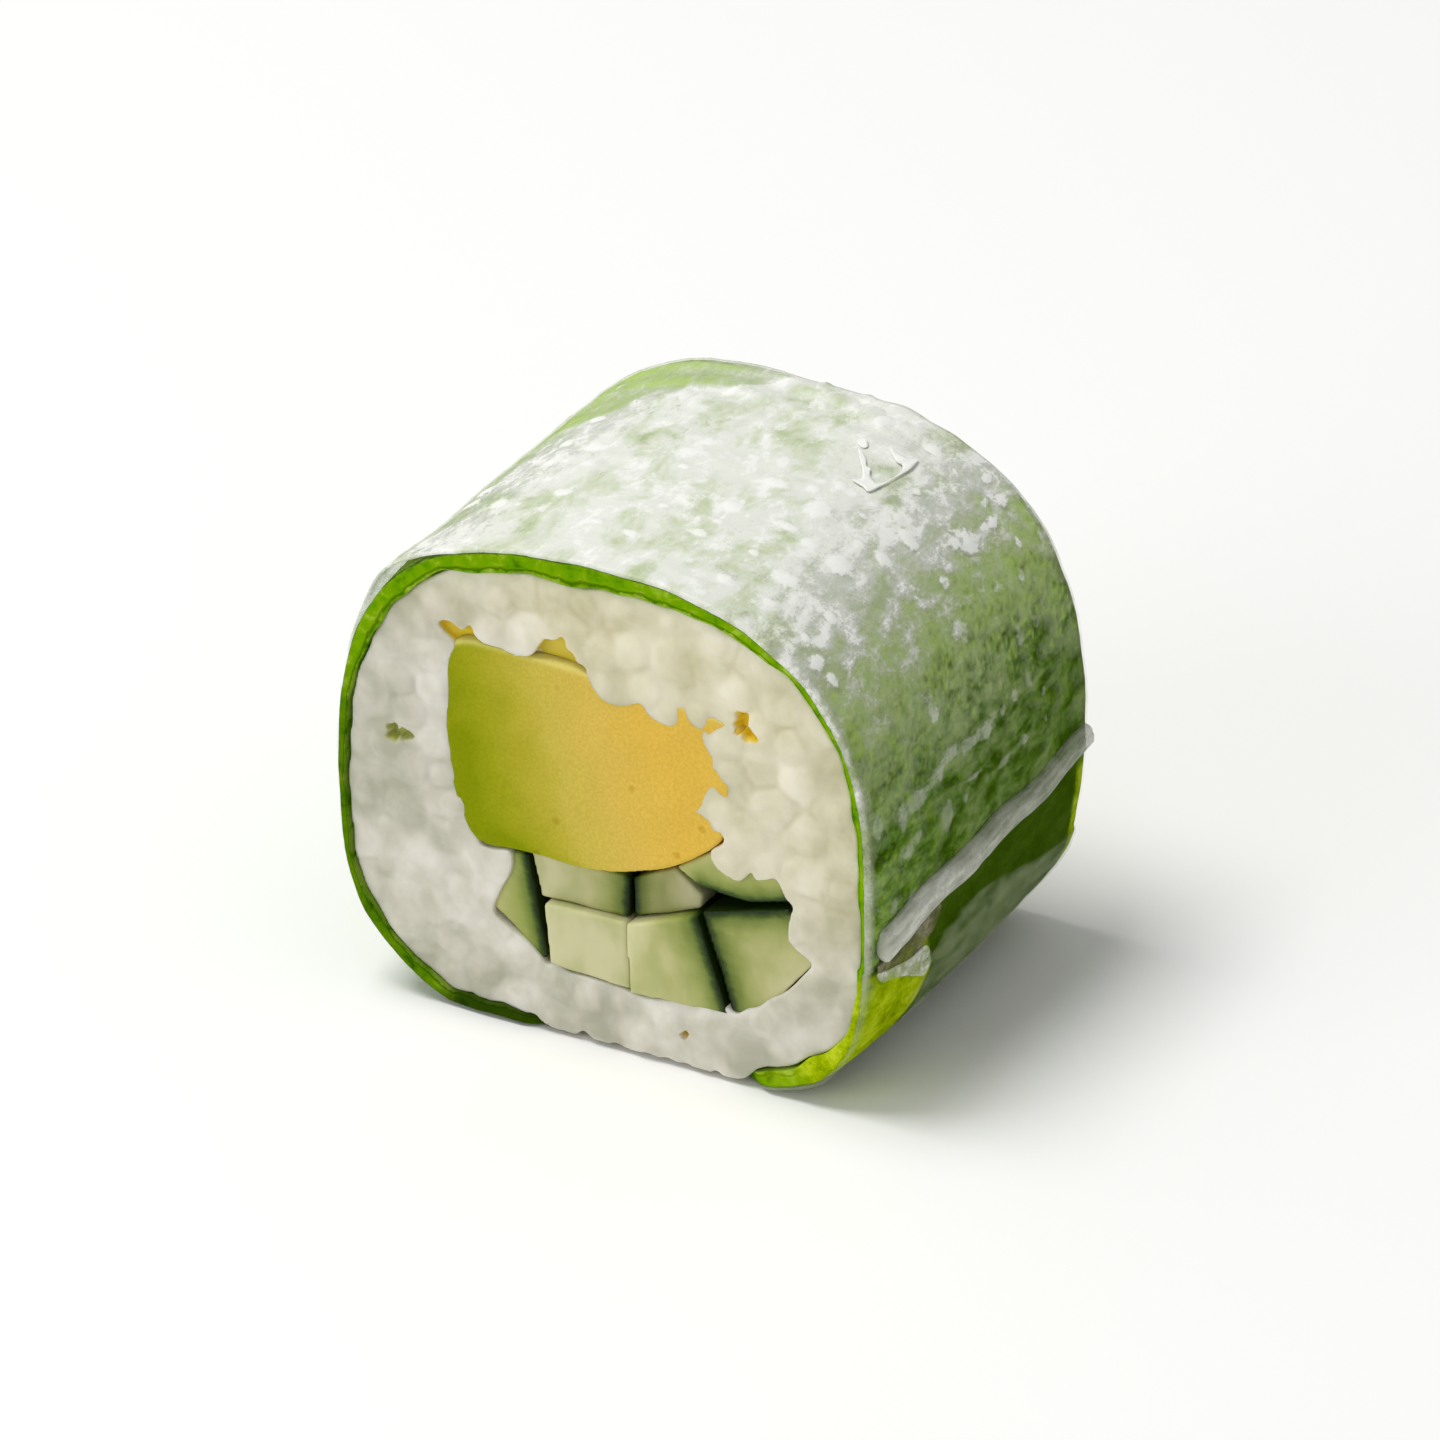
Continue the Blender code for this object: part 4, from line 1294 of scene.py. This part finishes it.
class LeafSettings(bpy.types.PropertyGroup):
    """The leaf between the film and the rice."""

    leaf_colour: colour_property("Leaf", "The leaf's middle green", "#5d8322")
    # the dark parts' colour is also the leaf's painted shade below the seam and on the right side
    dark_colour: colour_property("Dark parts", "The leaf's folds", "#364f05")
    light_colour: colour_property("Light parts", "Between the veins", "#8dab48")
    lime_colour: colour_property("Lime parts", "The leaf's young edge", "#c8d62c")


class RiceSettings(bpy.types.PropertyGroup):
    """The rice."""

    voxel: bpy.props.FloatProperty(
        name="Fineness", description="Size of the steps that fuse the grains", default=0.00014, unit="LENGTH"
    )
    cool_colour: colour_property("Cool rice", "Rice at the left and below", "#d2cec0")
    warm_colour: colour_property("Warm rice", "Rice by the avocado", "#dcd6b6")


class FillingSettings(bpy.types.PropertyGroup):
    """The avocado and the cucumber."""

    avocado_inset: bpy.props.FloatProperty(
        name="Avocado inset",
        description="How far the avocado is behind the cut",
        default=0.0004,
        unit="LENGTH",
    )
    green_colour: colour_property("Green flesh", "Avocado under its skin", "#8b9706")
    yellow_colour: colour_property("Yellow flesh", "Avocado half-way", "#cfbd50")
    stone_colour: colour_property("Inner flesh", "Avocado by its stone", "#e8c052")
    flesh_colour: colour_property("Cucumber flesh", "Cucumber away from its skin", "#cfcca0")
    skin_colour: colour_property("Cucumber skin", "The cucumber's skin", "#1b2b06")


class StageSettings(bpy.types.PropertyGroup):
    """The camera, floor and light."""

    azimuth: bpy.props.FloatProperty(
        name="Azimuth", description="Camera's turn from the front", default=CAMERA_TURN, subtype="ANGLE"
    )
    elevation: bpy.props.FloatProperty(
        name="Elevation", description="Camera's height angle", default=CAMERA_TILT, subtype="ANGLE"
    )
    distance: bpy.props.FloatProperty(
        name="Distance", description="From the camera to the roll", default=0.9, unit="LENGTH"
    )
    lens: bpy.props.FloatProperty(
        name="Lens", description="Focal length in millimetres", default=379.1, unit="CAMERA"
    )
    floor_colour: bpy.props.FloatVectorProperty(
        name="Floor", description="The floor's colour", size=4, subtype="COLOR", default=colour("#fafaf8")
    )
    key_power: bpy.props.FloatProperty(
        name="Key light", description="Power of the light above, in watts", default=4.1, subtype="POWER"
    )
    fill_power: bpy.props.FloatProperty(
        name="Fill light", description="Power of the light in front, in watts", default=1.6, subtype="POWER"
    )


# What adds the pieces


class ROLL_OT_add_film(bpy.types.Operator):
    """Add the rice paper with its rolled edge and the loose bits on it"""

    bl_idname = "roll.add_film"
    bl_label = "Add film"

    def execute(self, context):
        look = context.scene.roll_film
        material = film_material("soaked_rice_paper", look.thin_colour, look.milky_colour, 1.0)
        rolled = film_material("rolled_rice_paper", look.rolled_dark_colour, look.rolled_colour, 0.2)
        stained = film_material("leaf_stained_rice_paper", look.stained_dark_colour, look.stained_colour, 0.0)
        torn = film_material("torn_rice_paper_with_painted_highlight", look.thin_colour, look.torn_and_highlight_colour, 0.0)
        film = wrapped_tube(FILM_COLUMNS, wall_path(FILM_ROWS, 4, 14), film_shape)
        finish_piece(film, "film", material, "rice_paper_film", "rice_paper")
        bead = rolled_bead(look.bead_width / MM / 2, look.bead_height / MM)
        finish_piece(bead, "film_rolled_edge", rolled, "rice_paper_film", "rice_paper")
        for name, outline, lift, crumple, haze in PATCHES_OF_FILM:
            patch = film_patch(outline, lift, crumple, haze)
            paper = stained if name == "film_web" else torn
            finish_piece(patch, name, paper, "rice_paper_film", "rice_paper")
        return {"FINISHED"}


class ROLL_OT_add_leaf(bpy.types.Operator):
    """Add the lettuce leaf between the film and the rice"""

    bl_idname = "roll.add_leaf"
    bl_label = "Add leaf"

    def execute(self, context):
        leaf = wrapped_tube(LEAF_COLUMNS, wall_path(LEAF_ROWS, 9, 14), leaf_shape)
        finish_piece(leaf, "leaf", leaf_material(context.scene.roll_leaf), "green_leaf", "lettuce_leaf")
        return {"FINISHED"}


class ROLL_OT_add_avocado(bpy.types.Operator):
    """Add the wedge of avocado"""

    bl_idname = "roll.add_avocado"
    bl_label = "Add avocado"

    def execute(self, context):
        settings = context.scene.roll_filling
        half = CUT - settings.avocado_inset / MM
        outline = smooth_loop(AVOCADO_OUTLINE, 6)
        piece = prism(outline, -half, half, 0.22)
        remeshed(piece, AVOCADO_VOXEL, 2)
        roughen(piece, 0.1, 0.4, 3.0)
        plane = cut_plane(piece)
        across = smooth_step(plane[:, 0] + 0.25 * (plane[:, 1] - 18), -11.2, 8.5)
        rind = path_distance(plane, AVOCADO_OUTLINE[9:14])
        ripeness = 0.03 + 0.97 * across - 0.16 * np.exp(-rind / 0.8)
        set_attribute(piece.data, "ripeness", np.clip(ripeness, 0, 1))
        # painted highlight: the top edge is painted pale
        edge = path_distance(plane, outline[:20])
        set_attribute(piece.data, "rim", 0.7 * np.exp(-((edge / 0.22) ** 2)))
        finish_piece(piece, "avocado", avocado_material(settings), "avocado_flesh", "avocado_wedge")
        return {"FINISHED"}


class ROLL_OT_add_cucumber(bpy.types.Operator):
    """Add the sticks of cucumber"""

    bl_idname = "roll.add_cucumber"
    bl_label = "Add cucumber"

    def execute(self, context):
        material = cucumber_material(context.scene.roll_filling)
        for number, (inset, corners, skins, tint, reach) in enumerate(CUCUMBER_STICKS, 1):
            half = CUT - inset
            piece = prism(corners, -half, half, 0.0)
            remeshed(piece, STICK_VOXEL, 1)
            roughen(piece, 0.07, 0.5, number * 7.3)
            plane = cut_plane(piece)
            skin = np.full(len(plane), 6.0)
            for first in skins:
                side = corners[first], corners[(first + 1) % len(corners)]
                skin = np.minimum(skin, segment_distance(plane, *side))
            set_attribute(piece.data, "skin", np.clip(skin / reach, 0, 1))
            set_attribute(piece.data, "tint", np.full(len(plane), tint))
            name = f"cucumber_{number}"
            finish_piece(piece, name, material, "cucumber_flesh", f"cucumber_stick_{number}")
        return {"FINISHED"}


class ROLL_OT_add_rice(bpy.types.Operator):
    """Add the rice: a cap of grains at each cut and the plain rice between them"""

    bl_idname = "roll.add_rice"
    bl_label = "Add rice"

    def execute(self, context):
        settings = context.scene.roll_rice
        avocado = smooth_loop(AVOCADO_OUTLINE, 6)
        outlines = [avocado, STICK_ROOM]
        tight = [prism(outline, -LENGTH, LENGTH, 0.0) for outline in outlines]
        wide = [prism(grown(outline, 0.12), -LENGTH, LENGTH, 0.0) for outline in outlines]
        opening = [prism(smooth_loop(FRONT_OPENING, 3), -LENGTH, LENGTH, 0.0)]
        material = rice_material(settings)
        for end, name, holes, cutters in (
            (-1, "rice_front", [FRONT_OPENING], opening),
            (1, "rice_back", outlines, wide),
        ):
            cap = rice_cap(end, holes, cutters, tight, settings.voxel)
            finish_piece(cap, name, material, "cooked_rice", "sushi_rice")
        half = CUT - RICE_CAP_DEPTH + 0.1
        angle = np.linspace(0, 2 * math.pi, 120, endpoint=False)
        inset = round_table(angle, FILM_EDGE) + leaf_thickness(angle) + 0.3
        ring = roll_points(angle, np.zeros_like(angle), inset + SWELL)
        middle = prism([(p[0] - AXIS_X, p[2]) for p in ring], -half, half, 0.0)
        for cutter in tight:
            apply_modifier(middle, "BOOLEAN", operation="DIFFERENCE", object=cutter, solver="EXACT")
        for name, value in (("tone", 0.3), ("warmth", 0.5), ("crevice", 0.0), ("pit", 0.0), ("amber", 0.0)):
            set_attribute(middle.data, name, np.full(len(middle.data.vertices), value))
        finish_piece(middle, "rice_middle", material, "cooked_rice", "sushi_rice")
        for cutter in (*opening, *wide, *tight):
            bpy.data.objects.remove(cutter)
        return {"FINISHED"}


class ROLL_OT_set_stage(bpy.types.Operator):
    """Set the camera, the floor and the light"""

    bl_idname = "roll.set_stage"
    bl_label = "Set stage"

    def execute(self, context):
        settings = context.scene.roll_stage
        turn, tilt = settings.azimuth, settings.elevation
        right = Vector((math.cos(turn), math.sin(turn), 0))
        back = Vector((math.sin(turn) * math.cos(tilt), -math.cos(turn) * math.cos(tilt), math.sin(tilt)))
        up = back.cross(right)
        aim = (Vector((0, 0, AIM_HEIGHT)) + AIM_RIGHT * right + AIM_UP * up) * MM
        axes = Matrix((right, up, back)).transposed().to_4x4()
        data = bpy.data.cameras.new("camera")
        data.lens = settings.lens
        data.sensor_width = 36.0
        data.clip_start = 0.05
        data.clip_end = 10.0
        camera = bpy.data.objects.new("camera", data)
        camera.matrix_world = Matrix.Translation(aim + back * settings.distance) @ axes
        context.scene.collection.objects.link(camera)
        context.scene.camera = camera

        deselect()
        bpy.ops.mesh.primitive_plane_add(size=FLOOR_SIZE, location=(0, 0, -FLOOR_GAP))
        floor = bpy.context.object
        floor.name = "floor"
        paint = {"Base Color": settings.floor_colour, "Roughness": 0.8}
        material, _, _ = new_material("matt_white_board", paint)
        floor.data.materials.append(material)

        world = bpy.data.worlds.new("studio")
        world.use_nodes = True
        sky = world.node_tree.nodes["Background"].inputs
        sky["Color"].default_value = grey(1.0)
        sky["Strength"].default_value = AMBIENT
        context.scene.world = world
        for name, (place, size), power in (
            ("key", KEY_LAMP, settings.key_power),
            ("fill", FILL_LAMP, settings.fill_power),
        ):
            light = bpy.data.lights.new(name, "AREA")
            light.shape = "SQUARE"
            light.size = size
            light.energy = power
            lamp = bpy.data.objects.new(name, light)
            lamp.location = place
            lamp.rotation_euler = (LAMP_AIM - Vector(place)).to_track_quat("-Z", "Y").to_euler()
            context.scene.collection.objects.link(lamp)
        context.scene.view_settings.view_transform = "Standard"
        return {"FINISHED"}


OPERATORS = (
    ROLL_OT_add_film,
    ROLL_OT_add_leaf,
    ROLL_OT_add_avocado,
    ROLL_OT_add_cucumber,
    ROLL_OT_add_rice,
    ROLL_OT_set_stage,
)
GROUPS = {
    "roll_film": FilmSettings,
    "roll_leaf": LeafSettings,
    "roll_rice": RiceSettings,
    "roll_filling": FillingSettings,
    "roll_stage": StageSettings,
}


class ROLL_PT_panel(bpy.types.Panel):
    """The roll's settings and what adds its pieces"""

    bl_label = "Cucumber avocado roll"
    bl_idname = "ROLL_PT_panel"
    bl_space_type = "VIEW_3D"
    bl_region_type = "UI"
    bl_category = "Roll"

    def draw(self, context):
        for group, settings in GROUPS.items():
            box = self.layout.box()
            for name in settings.__annotations__:
                box.prop(getattr(context.scene, group), name)
        for operator in OPERATORS:
            self.layout.operator(operator.bl_idname)


def register():
    for made in (*GROUPS.values(), *OPERATORS, ROLL_PT_panel):
        bpy.utils.register_class(made)
    for group, settings in GROUPS.items():
        setattr(bpy.types.Scene, group, bpy.props.PointerProperty(type=settings))


def unregister():
    for group in GROUPS:
        delattr(bpy.types.Scene, group)
    for made in reversed((*GROUPS.values(), *OPERATORS, ROLL_PT_panel)):
        bpy.utils.unregister_class(made)


def main():
    register()
    bpy.ops.roll.add_film()
    bpy.ops.roll.add_leaf()
    bpy.ops.roll.add_avocado()
    bpy.ops.roll.add_cucumber()
    bpy.ops.roll.add_rice()
    bpy.ops.roll.set_stage()


if __name__ == "__main__":
    main()
